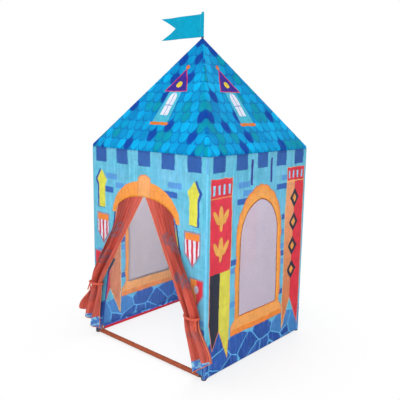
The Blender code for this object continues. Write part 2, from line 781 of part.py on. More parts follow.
def mast(surface, tent):
    """The rod in the socket, the ring that the flag rests on, and the cap that keeps it on."""
    foot = HUB_HEIGHT - HUB_BARREL_DROP - SOCKET_DEPTH + CLEARANCE
    axis = axis_empty("mast_axis", tent, (0, 0, foot))
    ring = FLAG_FOOT - CLEARANCE - foot
    top = MAST_TOP - foot
    bm = turned([
        (0, 0),
        (MAST_RADIUS - PLUG_CHAMFER, 0),
        (MAST_RADIUS, PLUG_CHAMFER),
        (MAST_RADIUS, ring - MAST_COLLAR_HEIGHT),
        (MAST_COLLAR_RADIUS, ring - MAST_COLLAR_HEIGHT),
        (MAST_COLLAR_RADIUS, ring),
        (MAST_RADIUS, ring),
        (MAST_RADIUS, top),
        (0, top),
    ], MAST_SIDES)
    piece("flag_mast", bm, surface, axis)
    skirt = FLAG_FOOT + FLAG_HEIGHT + CLEARANCE - foot
    inner = (MAST_RADIUS + CLEARANCE) / math.cos(math.pi / MAST_SIDES)
    bm = turned([
        (0, top + CLEARANCE),
        (inner, top + CLEARANCE),
        (inner, skirt),
        (CAP_RADIUS, skirt),
        (CAP_RADIUS, top + CLEARANCE),
        (CAP_RADIUS - PLUG_CHAMFER, top + CAP_HEIGHT),
        (0, top + CAP_HEIGHT),
    ], MAST_SIDES)
    piece("mast_cap", bm, surface, axis)
    return axis


def flag(surface, mast_axis):
    """A swallow-tailed flag that points to -X, sewn to a sleeve round the mast."""
    foot = FLAG_FOOT - mast_axis.location.z
    axis = axis_empty("flag_axis", mast_axis, (0, 0, foot))
    inner = (MAST_RADIUS + CLEARANCE) / math.cos(math.pi / SLEEVE_SIDES)
    outer = inner + CLOTH
    outline = [(inner, 0), (outer, 0), (outer, FLAG_HEIGHT), (inner, FLAG_HEIGHT)]
    sleeve = turned(outline, SLEEVE_SIDES, closed=True)
    root = (inner * math.cos(math.pi / SLEEVE_SIDES) + outer) / 2

    def place(i, j):
        level = j / FLAG_ROWS
        tip = FLAG_LENGTH - FLAG_NOTCH * (1 - abs(2 * level - 1))
        run = (tip - root) * i / FLAG_COLUMNS
        wave = FLAG_WAVE * math.sin(math.tau * run / FLAG_WAVE_LENGTH) * run / FLAG_LENGTH
        return Vector((-root - run, wave, FLAG_HEIGHT * level))

    panel = sheet(FLAG_COLUMNS, FLAG_ROWS, place)
    bmesh.ops.solidify(panel, geom=panel.faces[:], thickness=CLOTH)
    bmesh.ops.recalc_face_normals(panel, faces=panel.faces)
    bmesh.ops.translate(panel, vec=(0, CLOTH / 2, 0), verts=panel.verts)
    return piece("flag", joined([sleeve, panel]), surface, axis)


def build():
    clear_scene()
    tube = look("tube_plastic", (0.62, 0.63, 0.64), 0.38)
    joint = look("joint_plastic", (0.045, 0.047, 0.055), 0.45)
    mast_grey = look("mast_plastic", (0.06, 0.065, 0.075), 0.40)
    roof = look("roof_cloth", (0.03, 0.38, 0.58), 0.62)
    printed = look("wall_cloth", (0.15, 0.55, 0.72), 0.65)
    bar = look("threshold_cloth", (0.40, 0.075, 0.038), 0.65)
    net = look("window_net_cloth", (0.55, 0.50, 0.58), 0.75)
    curtain_red = look("curtain_cloth", (0.55, 0.07, 0.035), 0.60)
    tie_red = look("tie_cloth", (0.50, 0.09, 0.03), 0.60)
    flag_blue = look("flag_cloth", (0.0, 0.42, 0.62), 0.60)

    tent = axis_empty("tent", None, (0, FRAME_SETBACK, 0))
    pole_frame(tube, joint, tent)
    roof_canopy(roof, tent)
    door = (DOOR_HALF_WIDTH, BASE_HEIGHT + SEAM_RISE, DOOR_SPRING, door_arch)
    window = (WINDOW_HALF_WIDTH, WINDOW_SILL, WINDOW_SPRING, window_arch)
    # The back wall has the side walls' panel without its opening.
    blank = (WINDOW_HALF_WIDTH, WINDOW_SILL, WINDOW_SPRING, None)
    wall("front_wall", 0, printed, tent, *door, hem=False)
    wall("right_wall", 1, printed, tent, *window)
    wall("back_wall", 2, printed, tent, *blank)
    wall("left_wall", 3, printed, tent, *window)
    threshold_sleeve(bar, tent)
    window_net("right_window_net", 1, net, tent)
    window_net("left_window_net", 3, net, tent)
    curtain(-1, "left", curtain_red, tie_red, tent)
    curtain(1, "right", curtain_red, tie_red, tent)
    mast_axis = mast(mast_grey, tent)
    flag(flag_blue, mast_axis)


build()
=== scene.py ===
"""A child's castle play tent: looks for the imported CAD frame, in metres, with the doorway towards -Y."""

from math import atan2, copysign, cos, hypot, pi, radians, sin, sqrt, tau

import bmesh
import bpy
from mathutils import Matrix, Vector, noise


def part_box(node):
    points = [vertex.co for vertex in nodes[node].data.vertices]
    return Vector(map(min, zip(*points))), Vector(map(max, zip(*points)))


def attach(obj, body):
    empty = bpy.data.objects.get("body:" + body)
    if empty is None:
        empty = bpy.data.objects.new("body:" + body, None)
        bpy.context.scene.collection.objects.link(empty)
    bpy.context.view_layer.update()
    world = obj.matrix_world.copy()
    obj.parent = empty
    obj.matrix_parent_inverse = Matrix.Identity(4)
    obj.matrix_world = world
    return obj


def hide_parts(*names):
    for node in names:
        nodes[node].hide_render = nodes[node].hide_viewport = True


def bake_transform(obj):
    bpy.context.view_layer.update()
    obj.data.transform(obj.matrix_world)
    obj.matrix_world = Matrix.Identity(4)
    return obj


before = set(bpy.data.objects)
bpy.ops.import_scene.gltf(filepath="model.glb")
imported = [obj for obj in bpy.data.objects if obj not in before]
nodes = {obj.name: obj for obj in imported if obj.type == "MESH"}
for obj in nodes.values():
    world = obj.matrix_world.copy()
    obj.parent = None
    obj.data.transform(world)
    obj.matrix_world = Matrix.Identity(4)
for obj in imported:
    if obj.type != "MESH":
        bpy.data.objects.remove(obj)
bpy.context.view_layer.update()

# Studio: a pale floor that fades to white, even soft light, and the photograph's camera.
# The eye, its direction and its lens were worked out from the tent's corners in the photograph.
EYE = Vector((1.80705, -1.99298, 1.18055))
LOOK = Vector((-0.65693, 0.73421, -0.17139))
ROLL = radians(0.9)
LENS = 48.25
FLOOR_RADIUS = 9.0
SHADOW_REACH = (0.50, 1.05)
FLOOR_LIFT = 0.72
SKY_LEVEL = 0.80
CAMERA_RAY, GLOSSY_RAY, TRANSMITTED_RAY = 0, 3, 6
LAMPS = {
    "key_lamp": ((2.0, -2.5, 1.35), 1.3, 36.0),
    "top_lamp": ((2.2, -2.2, 3.4), 2.6, 24.0),
    "fill_lamp": ((-3.2, -2.4, 2.2), 2.6, 22.0),
    "back_lamp": ((-1.0, 3.4, 3.0), 2.4, 30.0),
    "room_lamp": ((0.0, 0.0, 1.06), 0.34, 4.5),
}
LAMP_TARGET = Vector((0, 0, 0.75))

scene = bpy.context.scene
scene.view_settings.view_transform = "Standard"
camera_data = bpy.data.cameras.new("camera")
camera_data.lens = LENS
camera = bpy.data.objects.new("camera", camera_data)
scene.collection.objects.link(camera)
camera.location = EYE
camera.rotation_euler = (LOOK.to_track_quat("-Z", "Y").to_matrix() @ Matrix.Rotation(ROLL, 3, "Z")).to_euler()
scene.camera = camera

for lamp_name, (lamp_place, lamp_size, lamp_power) in LAMPS.items():
    lamp_data = bpy.data.lights.new(lamp_name, "AREA")
    lamp_data.size = lamp_size
    lamp_data.energy = lamp_power
    lamp = bpy.data.objects.new(lamp_name, lamp_data)
    scene.collection.objects.link(lamp)
    lamp.location = lamp_place
    lamp.rotation_euler = (LAMP_TARGET - lamp.location).to_track_quat("-Z", "Y").to_euler()
    lamp.visible_camera = False


def maths(operation, reflected=False):
    """A method that joins a Term and a number or another Term by one maths node."""
    if reflected:
        return lambda term, other: term.math(operation, other, term)
    return lambda term, other=0.0: term.math(operation, term, other)


class Term:
    """A node socket that can stand in a sum, so that a pattern reads as a formula."""

    def __init__(self, tree, socket):
        self.tree = tree
        self.socket = socket

    def node(self, kind, settings, inputs, output=0):
        """Adds a node with its settings, and the values or links of its sockets."""
        made = self.tree.nodes.new(kind)
        for key, value in settings.items():
            setattr(made, key, value)
        for key, value in inputs.items():
            if isinstance(value, Term):
                self.tree.links.new(value.socket, made.inputs[key])
            else:
                made.inputs[key].default_value = value
        return Term(self.tree, made.outputs[output])

    def math(self, operation, first, second=0.0, third=0.0, clamp=False):
        return self.node("ShaderNodeMath", {"operation": operation, "use_clamp": clamp},
                         {0: first, 1: second, 2: third})

    __add__ = __radd__ = maths("ADD")
    __sub__ = maths("SUBTRACT")
    __rsub__ = maths("SUBTRACT", reflected=True)
    __mul__ = __rmul__ = maths("MULTIPLY")
    __truediv__ = maths("DIVIDE")
    __rtruediv__ = maths("DIVIDE", reflected=True)
    __abs__ = maths("ABSOLUTE")
    least = maths("MINIMUM")
    most = maths("MAXIMUM")
    above = maths("GREATER_THAN")
    below = maths("LESS_THAN")
    modulo = maths("FLOORED_MODULO")
    angle = maths("ARCTAN2")
    floor = maths("FLOOR")
    nearest = maths("ROUND")
    sine = maths("SINE")

    def __neg__(self):
        return self * -1.0

    def root(self):
        return self.math("SQRT", self.most(0.0))

    def over(self, soft):
        """1 where the term is above zero and 0 below, with an edge this soft."""
        return self.math("MULTIPLY_ADD", self, 1.0 / soft, 0.5, clamp=True)

    def ramp(self, start, end):
        """0 where the term is at the start, 1 where it is at the end, and even in between."""
        return ((self - start) / (end - start)).most(0.0).least(1.0)

    def line(self, middle, sharpness):
        """1 where the term is at the middle, and 0 on both sides of a line this sharp."""
        return 1.0 - (abs(self - middle) * sharpness).least(1.0)

    def vector(self, y, z=0.0):
        return self.node("ShaderNodeCombineXYZ", {}, {0: self, 1: y, 2: z})

    def part(self, axis):
        return self.node("ShaderNodeSeparateXYZ", {}, {0: self}, axis)

    def stretched(self, scales):
        """A place times one scale along each axis."""
        return self.node("ShaderNodeVectorMath", {"operation": "MULTIPLY"}, {0: self, 1: scales})

    def dimmed(self, level):
        """A colour or vector times this level."""
        return self.node("ShaderNodeVectorMath", {"operation": "SCALE"}, {0: self, "Scale": level})

    def noise(self, scale, detail=2.0, rough=0.5, output=0):
        """Smooth noise from 0 to 1 at this place."""
        return self.node("ShaderNodeTexNoise", {}, {"Vector": self, "Scale": scale, "Detail": detail,
                                                    "Roughness": rough}, output)

    def random(self, output=0):
        """A random value, or colour, for each whole-numbered cell."""
        return self.node("ShaderNodeTexWhiteNoise", {"noise_dimensions": "2D"}, {"Vector": self}, output)

    def mix(self, first, second):
        """The first colour where the term is 0, and the second where it is 1."""
        return self.node("ShaderNodeMix", {"data_type": "RGBA"}, {0: self, 6: first, 7: second}, 2)

    def mottled(self, scale, detail, first, second):
        """Two dyes in soft patches."""
        return self.noise(scale, detail).mix(dye(first), dye(second))


class Finish:
    """A material: its tree, its Principled shader, and where a place on the piece is read."""

    def __init__(self, name, roughness, **constants):
        self.material = bpy.data.materials.new(name)
        self.material.use_nodes = True
        self.tree = self.material.node_tree
        self.shader = self.tree.nodes["Principled BSDF"]
        self.shader.inputs["Roughness"].default_value = roughness
        for socket, value in constants.items():
            self.shader.inputs[socket.replace("_", " ")].default_value = value
        self.start = Term(self.tree, None)

    def place(self, source="Object"):
        """The object's own place, or the flat cloth's, in metres."""
        if source == "Object":
            return self.start.node("ShaderNodeTexCoord", {}, {}, 3)
        return self.start.node("ShaderNodeUVMap", {"uv_map": source}, {})

    def feed(self, socket, value):
        self.tree.links.new(value.socket, self.shader.inputs[socket])

    def blend_with(self, kind, share):
        """Mixes the shader with another, by an even share or by a Term, and gives the other one."""
        other = self.tree.nodes.new(kind)
        mixed = self.tree.nodes.new("ShaderNodeMixShader")
        if isinstance(share, Term):
            self.tree.links.new(share.socket, mixed.inputs[0])
        else:
            mixed.inputs[0].default_value = share
        self.tree.links.new(self.shader.outputs[0], mixed.inputs[1])
        self.tree.links.new(other.outputs[0], mixed.inputs[2])
        self.tree.links.new(mixed.outputs[0], self.tree.nodes["Material Output"].inputs[0])
        return other

    def let_light_through(self, share, code):
        """Lets this share of the light pass, as thin cloth does, tinted with one colour."""
        self.blend_with("ShaderNodeBsdfTranslucent", share).inputs["Color"].default_value = dye(code)

    def bump(self, height, distance):
        """Relief of this height, where 1 stands for the distance in metres."""
        self.feed("Normal", self.start.node("ShaderNodeBump", {}, {"Height": height, "Distance": distance,
                                                                 "Strength": 1.0}))


def dye(code):
    """A colour from its hex code, as the linear values that a shader takes."""
    parts = [int(code[k:k + 2], 16) / 255 for k in (0, 2, 4)]
    return (*[part / 12.92 if part < 0.04045 else ((part + 0.055) / 1.055) ** 2.4 for part in parts], 1.0)


def finished(name, bm, finish, body=None, thickness=0.0):
    """Makes the piece from its bmesh, with its material, and rides it on a body."""
    mesh = bpy.data.meshes.new(name)
    bm.to_mesh(mesh)
    bm.free()
    mesh.materials.append(finish.material)
    mesh.shade_smooth()
    made = bpy.data.objects.new(name, mesh)
    scene.collection.objects.link(made)
    if thickness:
        wall = made.modifiers.new("thickness", "SOLIDIFY")
        wall.thickness = thickness
        wall.offset = 0.0
    if body:
        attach(made, body)
    return made


floor_finish = Finish("floor", 0.7)
floor_finish.shader.inputs["Base Color"].default_value = dye("f4f4f4")
floor_spot = floor_finish.place()
floor_far = floor_spot.part(0) * floor_spot.part(0) + floor_spot.part(1) * floor_spot.part(1)
floor_blend = floor_far.node("ShaderNodeMapRange", {"interpolation_type": "SMOOTHSTEP"}, {
    "Value": floor_far.root(), "From Min": SHADOW_REACH[0], "From Max": SHADOW_REACH[1]})
floor_seen = floor_finish.start.node("ShaderNodeLightPath", {}, {}, CAMERA_RAY)
floor_finish.blend_with("ShaderNodeEmission", (floor_blend * (1 - FLOOR_LIFT) + FLOOR_LIFT) * floor_seen)
floor_bm = bmesh.new()
bmesh.ops.create_circle(floor_bm, cap_ends=True, segments=64, radius=FLOOR_RADIUS)
finished("floor", floor_bm, floor_finish)

world = bpy.data.worlds.new("studio")
scene.world = world
world.use_nodes = True
sky = Term(world.node_tree, None)
sky_seen, sky_gloss, sky_through = [sky.node("ShaderNodeLightPath", {}, {}, ray)
                                    for ray in (CAMERA_RAY, GLOSSY_RAY, TRANSMITTED_RAY)]
sky_strength = sky_seen.most(sky_gloss).most(sky_through) * (1 - SKY_LEVEL) + SKY_LEVEL
sky_node = world.node_tree.nodes["Background"]
sky_node.inputs[0].default_value = (1, 1, 1, 1)
world.node_tree.links.new(sky_strength.socket, sky_node.inputs[1])


# Roof canopy: one sheet of printed polyester, cut as four triangles and sewn along the ridges.
# It lies over the rafters, sags a little between them, and its lower edge is turned in as a
# sleeve round each eave tube. The peak is gathered into a ring round the mast.
POLE_HALF = 0.373
SETBACK = (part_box("back_wall")[1].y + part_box("front_wall")[0].y) / 2
EAVE_HEIGHT = 0.985
HUB_HEIGHT = 1.4965
CLOTH_OFFSET = 0.01132
CLOTH_THICKNESS = 0.0007
HAIR = 1e-6
ROOF_SAG = 0.010
ROOF_COLUMNS = 26
ROOF_ROWS = 34
RIDGE_STEPS = 4
SLEEVE_ROWS = 10
SLEEVE_HALF = 0.343
MAST_HOLE = 0.0058
TIP_HEIGHT = 1.50776
SKIRT_END = 0.97964
ROOF_RISE = HUB_HEIGHT - EAVE_HEIGHT
ROOF_SLOPE = atan2(ROOF_RISE, POLE_HALF)
ROOF_SLANT = hypot(ROOF_RISE, POLE_HALF)
SLEEVE_TURN = radians(30)
SLEEVE_END = radians(255)
EAVE_STEPS = 4
ROOF_PUCKER = 0.0028
ROOF_RIPPLE_SCALES = (14, 5, 7.3)
PEAK_CALM = 3
TENT_CENTRE = Vector((0, SETBACK, 0))


def face_turn(face):
    """Turns the front face of the tent onto another: 1 is the right, 2 the back, 3 the left."""
    return Matrix.Rotation(face * pi / 2, 3, "Z")


def between(low, high, steps):
    return [low + (high - low) * number / steps for number in range(steps + 1)]


def swell(place, scales):
    """Smooth noise from -1 to 1 at a place, with its own scale along each axis."""
    return noise.noise(Vector([at * scale for at, scale in zip(place, scales)]))


def cut_sheet(columns, rows, place, keep=None):
    """A cloth surface made from a grid. place(i, j) gives a corner's point and its place on the flat
    cut, and keep(i, j) says which faces stay."""
    bm = bmesh.new()
    bmesh.ops.create_grid(bm, x_segments=columns, y_segments=rows, size=1)
    spots = {vert: (round((vert.co.x + 1) / 2 * columns), round((vert.co.y + 1) / 2 * rows))
             for vert in bm.verts}
    if keep:
        gone = []
        for face in bm.faces:
            corners = [spots[vert] for vert in face.verts]
            if not keep(min(i for i, j in corners), min(j for i, j in corners)):
                gone.append(face)
        bmesh.ops.delete(bm, geom=gone, context="FACES")
    flat = bm.loops.layers.uv.new("cut")
    for vert in bm.verts:
        vert.co, cut = place(*spots[vert])
        for loop in vert.link_loops:
            loop[flat].uv = cut
    bmesh.ops.remove_doubles(bm, verts=bm.verts, dist=HAIR)
    bmesh.ops.recalc_face_normals(bm, faces=bm.faces)
    return bm


THREAD_PITCH = 0.0011
FOLD_WIDTH = 0.006
INK_EDGE = 0.0015
INK_WOBBLE_SCALE = 34.0
GATHER_SCALES = (62.0, 5.0, 1.0)
CREASE_PAINTED_SHADE = 0.10


class Print(Finish):
    """A printed cloth: flat colours laid over each other on its cut, with hand-drawn edges."""

    def __init__(self, name, roughness, wobble=0.0, **constants):
        super().__init__(name, roughness, **constants)
        self.cut = self.place("cut")
        self.across, self.up = self.cut.part(0), self.cut.part(1)
        bend = self.cut.noise(INK_WOBBLE_SCALE, 1.0, output=1)
        self.x = self.across + (bend.part(0) - 0.5) * wobble
        self.z = self.up + (bend.part(1) - 0.5) * wobble
        self.side = abs(self.x)
        self.colour = None

    def lay(self, mask, code):
        self.colour = mask.mix(self.colour, dye(code))

    def box(self, left, right, low, high, x=None):
        """1 inside an upright box."""
        x = self.x if x is None else x
        wide = (right - left) / 2 - abs(x - (left + right) / 2)
        return wide.least((high - low) / 2 - abs(self.z - (low + high) / 2)).over(INK_EDGE)

    def outline(self, corners, x=None, grow=0.0):
        """1 inside a convex outline, whose corners go round anticlockwise, and this far outside it."""
        x = self.x if x is None else x
        inside = None
        for (x0, z0), (x1, z1) in zip(corners, corners[1:] + corners[:1]):
            length = hypot(x1 - x0, z1 - z0)
            a, b = (z0 - z1) / length, (x1 - x0) / length
            edge = x.math("MULTIPLY_ADD", x, a, self.z * b - (a * x0 + b * z0 - grow))
            inside = edge if inside is None else inside.least(edge)
        return inside.over(INK_EDGE)

    def patch(self, corners, code, x=None, grow=0.0):
        """Lays one flat colour inside an outline."""
        self.lay(self.outline(corners, x, grow), code)

    def oval(self, middle, half, x=None, turn=0.0):
        """1 inside an ellipse, which may be turned."""
        x = (self.x if x is None else x) - middle[0]
        z = self.z - middle[1]
        if turn:
            x, z = x * cos(turn) + z * sin(turn), z * cos(turn) - x * sin(turn)
        x, z = x / half[0], z / half[1]
        return (1.0 - x * x - z * z).over(2 * INK_EDGE / min(half))

    def creases(self):
        """1 on the thin, wandering lines where the cloth was crushed in its bag."""
        return self.cut.noise(7.0, 3.0, 0.55).line(0.5, 34.0).most(self.cut.noise(15.0).line(0.47, 26.0))

    def gathers(self, low, high):
        """Fine upright ripples that a seam draws into the cloth, from none to all between two heights."""
        return (self.cut.stretched(GATHER_SCALES).noise(1.0) - 0.5) * self.up.ramp(low, high)

    def emboss(self, fold_across, fold_up, depth, more=0.0):
        """Relief of the weave, of soft creases, and of the folds that the cloth was packed in."""
        thread = tau / THREAD_PITCH
        weave = (self.across * thread).sine() * (self.up * thread).sine()
        crumple = self.cut.noise(13.0, 3.0, 0.55)
        crease = crumple.line(0.5, 22.0)
        fold = self.side.line(fold_across, 1 / FOLD_WIDTH)
        fold = fold.most(self.z.modulo(fold_up).line(fold_up / 2, 1 / FOLD_WIDTH))
        self.bump(weave * 0.03 + crease * 0.16 + crumple * 0.9 + fold * 0.22 + more, depth)

    def brush(self, streaks):
        """From 0 to 1 in the streaks of a brush, this many to the metre across and up."""
        return self.cut.stretched(streaks).noise(1.0, 3.0, 0.6)

    def wash(self, streaks, depth):
        """Gives the cloth its colours, with a brush's streaks and pools, and painted shade along the creases.
        """
        brush = self.brush(streaks)
        pool = self.cut.noise(22.0)
        level = (brush - 0.5) * depth + (pool - 0.5) * depth + 1.0
        # Painted shade: the crease lines darken the base colour.
        self.feed("Base Color", self.colour.dimmed(level - self.creases() * CREASE_PAINTED_SHADE))


TILE_WIDTH = 0.050
TILE_HEIGHT = 0.055
TILE_ROUND = 0.80
TILE_START = 0.30
PEAK_ROW = 11
DORMER_FOOT = 0.150
DORMER_EAVE = 0.335
DORMER_TOP = 0.450
DORMER_HALF = 0.050
DORMER_ORANGE = "f5862e"
PANE_HALF = 0.024
PANE_SILL = 0.190
PANE_SPRING = 0.284
FACE_SEEDS = (5.37, 11.83)

tiles = Print("roof_print", 0.6, 0.009, Specular_IOR_Level=0.06)
roof_spot = tiles.place()
roof_x, roof_y = roof_spot.part(0), roof_spot.part(1) - SETBACK
side_face, far_face = abs(roof_x).above(abs(roof_y)), (roof_x + roof_y).above(0.0)
face_seed = side_face * FACE_SEEDS[0] + far_face * FACE_SEEDS[1]
tile_u = tiles.x / TILE_WIDTH
tile_v = tiles.z / TILE_HEIGHT + TILE_START
tile_row = tile_v.floor()
tile_rise = tile_v - tile_row
tile_shift = tile_row.modulo(2.0) * 0.5
tile_col = (tile_u + tile_shift).floor()
tile_run = (tile_u + tile_shift) - tile_col
tile_bow = tile_run * 2.0 - 1.0
tile_drop = tile_rise - (1.0 - (1.0 - tile_bow * tile_bow).root()) * TILE_ROUND
tile_hidden = tile_drop.below(0.0)
tile_col = tile_col + tile_hidden * ((tile_u + (0.5 - tile_shift)).floor() - tile_col)
tile_place = tile_row - tile_hidden
tile_cell = (tile_col + face_seed).vector(tile_place)
tile_tone = tile_cell.random()
tiles.colour = tile_cell.random(1).part(1).mix(dye("0092d0"), dye("00c2f8"))
for tile_share, tile_dye in ((0.38, "009fb8"), (0.24, "00aadc")):
    tiles.lay((tile_share - tile_tone).over(0.01), tile_dye)
tiles.lay((0.165 - tile_tone).over(0.01).most((tile_place - (PEAK_ROW - 0.5)).over(0.1)), "0c4aaa")
tiles.lay((0.16 - tile_drop).over(0.30) * 0.22, "0a62ae")
tile_line = (0.075 - abs(tile_drop)).most((0.045 - tile_run.least(1.0 - tile_run)).least(tile_drop))
tiles.lay(tile_line.over(0.06) * 0.75, "0a5cb2")
dormer_wall = [(-DORMER_HALF, DORMER_FOOT), (DORMER_HALF, DORMER_FOOT),
               (0.038, DORMER_EAVE), (-0.038, DORMER_EAVE)]
tiles.patch(dormer_wall, "1f78b4", grow=0.003)
tiles.patch(dormer_wall, "52c4dc")
pane = tiles.oval((0, PANE_SPRING), (PANE_HALF, 0.036))
tiles.lay(pane.most(tiles.box(-PANE_HALF, PANE_HALF, PANE_SILL, PANE_SPRING)), "f4f6ff")
glazing_bar = tiles.box(-0.0018, 0.0018, PANE_SILL, 0.319)
tiles.lay(glazing_bar.most(tiles.box(-PANE_HALF, PANE_HALF, 0.2450, 0.2486)), "5478cc")
dormer_gable = [(-0.066, DORMER_EAVE - 0.004), (0.066, DORMER_EAVE - 0.004), (0, DORMER_TOP)]
tiles.patch(dormer_gable, "e02f50", grow=0.005)
tiles.patch(dormer_gable, "43309c")
tiles.lay(tiles.oval((0, 0.368), (0.017, 0.017)), "f6dc3e")
tiles.lay(tiles.box(-0.058, 0.058, DORMER_FOOT - 0.016, DORMER_FOOT), DORMER_ORANGE)
tiles.lay(tiles.oval((0, DORMER_TOP + 0.018), (0.011, 0.013)), DORMER_ORANGE)
tiles.wash((34.0, 9.0, 1.0), 0.34)
tiles.emboss(0.16, 0.21, 0.0026, tiles.gathers(0.12, -0.01) * 1.6)
tiles.let_light_through(0.20, "00b4f0")

ROOF_SHARES_ACROSS = between(-1, 1, ROOF_COLUMNS)
ROOF_TIP_SHARE = 1 - MAST_HOLE / POLE_HALF
ROOF_FACE_COLUMNS = ROOF_COLUMNS + RIDGE_STEPS
roof_sleeve_angles = [-SLEEVE_TURN - step for step in between(0, SLEEVE_END - SLEEVE_TURN, SLEEVE_ROWS)]
roof_eave_angles = [*reversed(roof_sleeve_angles),
                    *between(-SLEEVE_TURN, pi / 2 - ROOF_SLOPE, EAVE_STEPS)[1:-1]]
ROOF_FIRST_ROW = len(roof_eave_angles)
ROOF_TIP_ROW = ROOF_FIRST_ROW + ROOF_ROWS + 1


def roof_place(i, j):
    face, column = divmod(i % (4 * ROOF_FACE_COLUMNS), ROOF_FACE_COLUMNS)
    on_ridge = column > ROOF_COLUMNS
    share = 1 if on_ridge else ROOF_SHARES_ACROSS[column]
    swing = (column - ROOF_COLUMNS) / RIDGE_STEPS if on_ridge else 0
    climb = min(max(j - ROOF_FIRST_ROW, 0) / ROOF_ROWS, 1) * ROOF_TIP_SHARE
    reach = POLE_HALF * (1 - climb)
    spot = Vector((reach, share * reach, EAVE_HEIGHT + ROOF_RISE * climb))
    slope_normal = Vector((sin(ROOF_SLOPE), 0, cos(ROOF_SLOPE)))
    if j < ROOF_FIRST_ROW:
        out = Vector((cos(roof_eave_angles[j]), 0, sin(roof_eave_angles[j])))
        if j == SLEEVE_ROWS and abs(share) > SLEEVE_HALF / POLE_HALF:
            out = Vector((1, 0, 0))
            spot.z = SKIRT_END
        out = Matrix.Rotation(swing * pi / 2, 3, "Z") @ out
        sag = 0
    else:
        out = slope_normal.slerp(face_turn(1) @ slope_normal, swing) if swing else slope_normal.copy()
        bow = (1 - share * share) * 4 * climb * (1 - climb)
        ripple = swell((share * reach, climb, face), ROOF_RIPPLE_SCALES)
        ripple *= (1 - share * share) * min(1, (1 - climb) * PEAK_CALM)
        sag = 0 if on_ridge else ROOF_SAG * bow + ROOF_PUCKER * ripple
    spot += out * (CLOTH_OFFSET - sag)
    if j == ROOF_TIP_ROW:
        around = atan2(spot.y, spot.x)
        spot = Vector((cos(around) * MAST_HOLE, sin(around) * MAST_HOLE, TIP_HEIGHT))
    mirror = 1 if face % 2 == 0 else -1
    flat_height = climb * ROOF_SLANT
    if j < ROOF_FIRST_ROW:
        flat_height = -CLOTH_OFFSET * (pi / 2 - ROOF_SLOPE - roof_eave_angles[j])
    return face_turn(face) @ spot + TENT_CENTRE, (share * reach * mirror, flat_height)


def roof_keep(i, j):
    column = i % ROOF_FACE_COLUMNS
    if j >= SLEEVE_ROWS:
        return True
    return column < ROOF_COLUMNS and max(abs(ROOF_SHARES_ACROSS[column]),
                                         abs(ROOF_SHARES_ACROSS[column + 1])) <= SLEEVE_HALF / POLE_HALF


roof_bm = cut_sheet(4 * ROOF_FACE_COLUMNS, ROOF_TIP_ROW, roof_place, roof_keep)
roof = finished("roof_cover", roof_bm, tiles, "tent", CLOTH_THICKNESS)
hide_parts("roof_canopy")


# Walls: four panels of the same printed polyester, joined at the corner posts and sewn under the
# roof's edge. The doorway and the two windows are cut out of them, and a hem at the foot of three
# of them wraps the base tubes.
DOOR_HALF = 0.205
DOOR_SPRING = 0.668
DOOR_RISE = 0.100
WINDOW_HALF = 0.144
WINDOW_SILL = 0.232
WINDOW_SPRING = 0.600
WINDOW_RISE = 0.163
WINDOW_EXCESS = (WINDOW_RISE ** 2 - WINDOW_HALF ** 2) / (2 * WINDOW_HALF)
BASE_HEIGHT = 0.0145
WALL_TOP = 0.97874
CORNER_SEAM = 0.0003
CORNER_STEPS = 4
SIDE_COLUMNS = 12
HOLE_COLUMNS = 24
HEM_STEPS = 12
HEM_END = radians(300)
DOOR_FOOT_HALF = POLE_HALF - 0.048
CORNER_HANG = 0.0048
SILL_ROWS = 12
JAMB_ROWS = 26
HEAD_ROWS = 18
SEAM_TURN = radians(40)
SEAM_REACH = 0.0116
SEAM_RISE = 0.016
WALL_BILLOW = 0.0055
WALL_PUCKER = 0.0018
BILLOW_SCALES = (5, 3.2, 3.7)
RUFFLE_SCALES = (13, 6, 5.1)
PUCKER_SCALES = (60, 7, 9.1)
RUFFLE_SHARE = 0.5
BILLOW_INWARDS = 0.35
PUCKER_LEAST = 0.35
POST_HOLD = 0.07
FOOT_HOLD = (0.03, 0.10)
EAVE_HOLD = 0.09
DOOR_HOLD = 0.06
PUCKER_REACH = (0.22, 0.04)


def door_arch(across):
    share = min(abs(across) / DOOR_HALF, 1)
    return DOOR_SPRING + DOOR_RISE * sqrt(1 - share * share)


def door_jamb(height):
    """Half the doorway's width at this height: it widens from the arch to the floor."""
    foot = BASE_HEIGHT + SEAM_REACH * sin(SEAM_TURN)
    share = min(max((DOOR_SPRING - height) / (DOOR_SPRING - foot), 0), 1)
    return DOOR_HALF + (DOOR_FOOT_HALF - DOOR_HALF) * share


def jamb_flare(across, height):
    """Moves a place across the front wall outwards with the jamb, between fixed posts."""
    jamb = door_jamb(height)
    if abs(across) <= DOOR_HALF:
        return across * jamb / DOOR_HALF
    if abs(across) >= POLE_HALF:
        return across
    share = (abs(across) - DOOR_HALF) / (POLE_HALF - DOOR_HALF)
    return copysign(jamb + (POLE_HALF - jamb) * share, across)


def window_arch(across, margin=0.0):
    """Height of a pointed arch: two arcs that meet over the middle, with an even margin."""
    radius = WINDOW_HALF + WINDOW_EXCESS + margin
    run = min(abs(across) + WINDOW_EXCESS, radius)
    return WINDOW_SPRING + sqrt(radius * radius - run * run)


def smooth_step(low, high, value):
    share = min(max((value - low) / (high - low), 0), 1)
    return share * share * (3 - 2 * share)


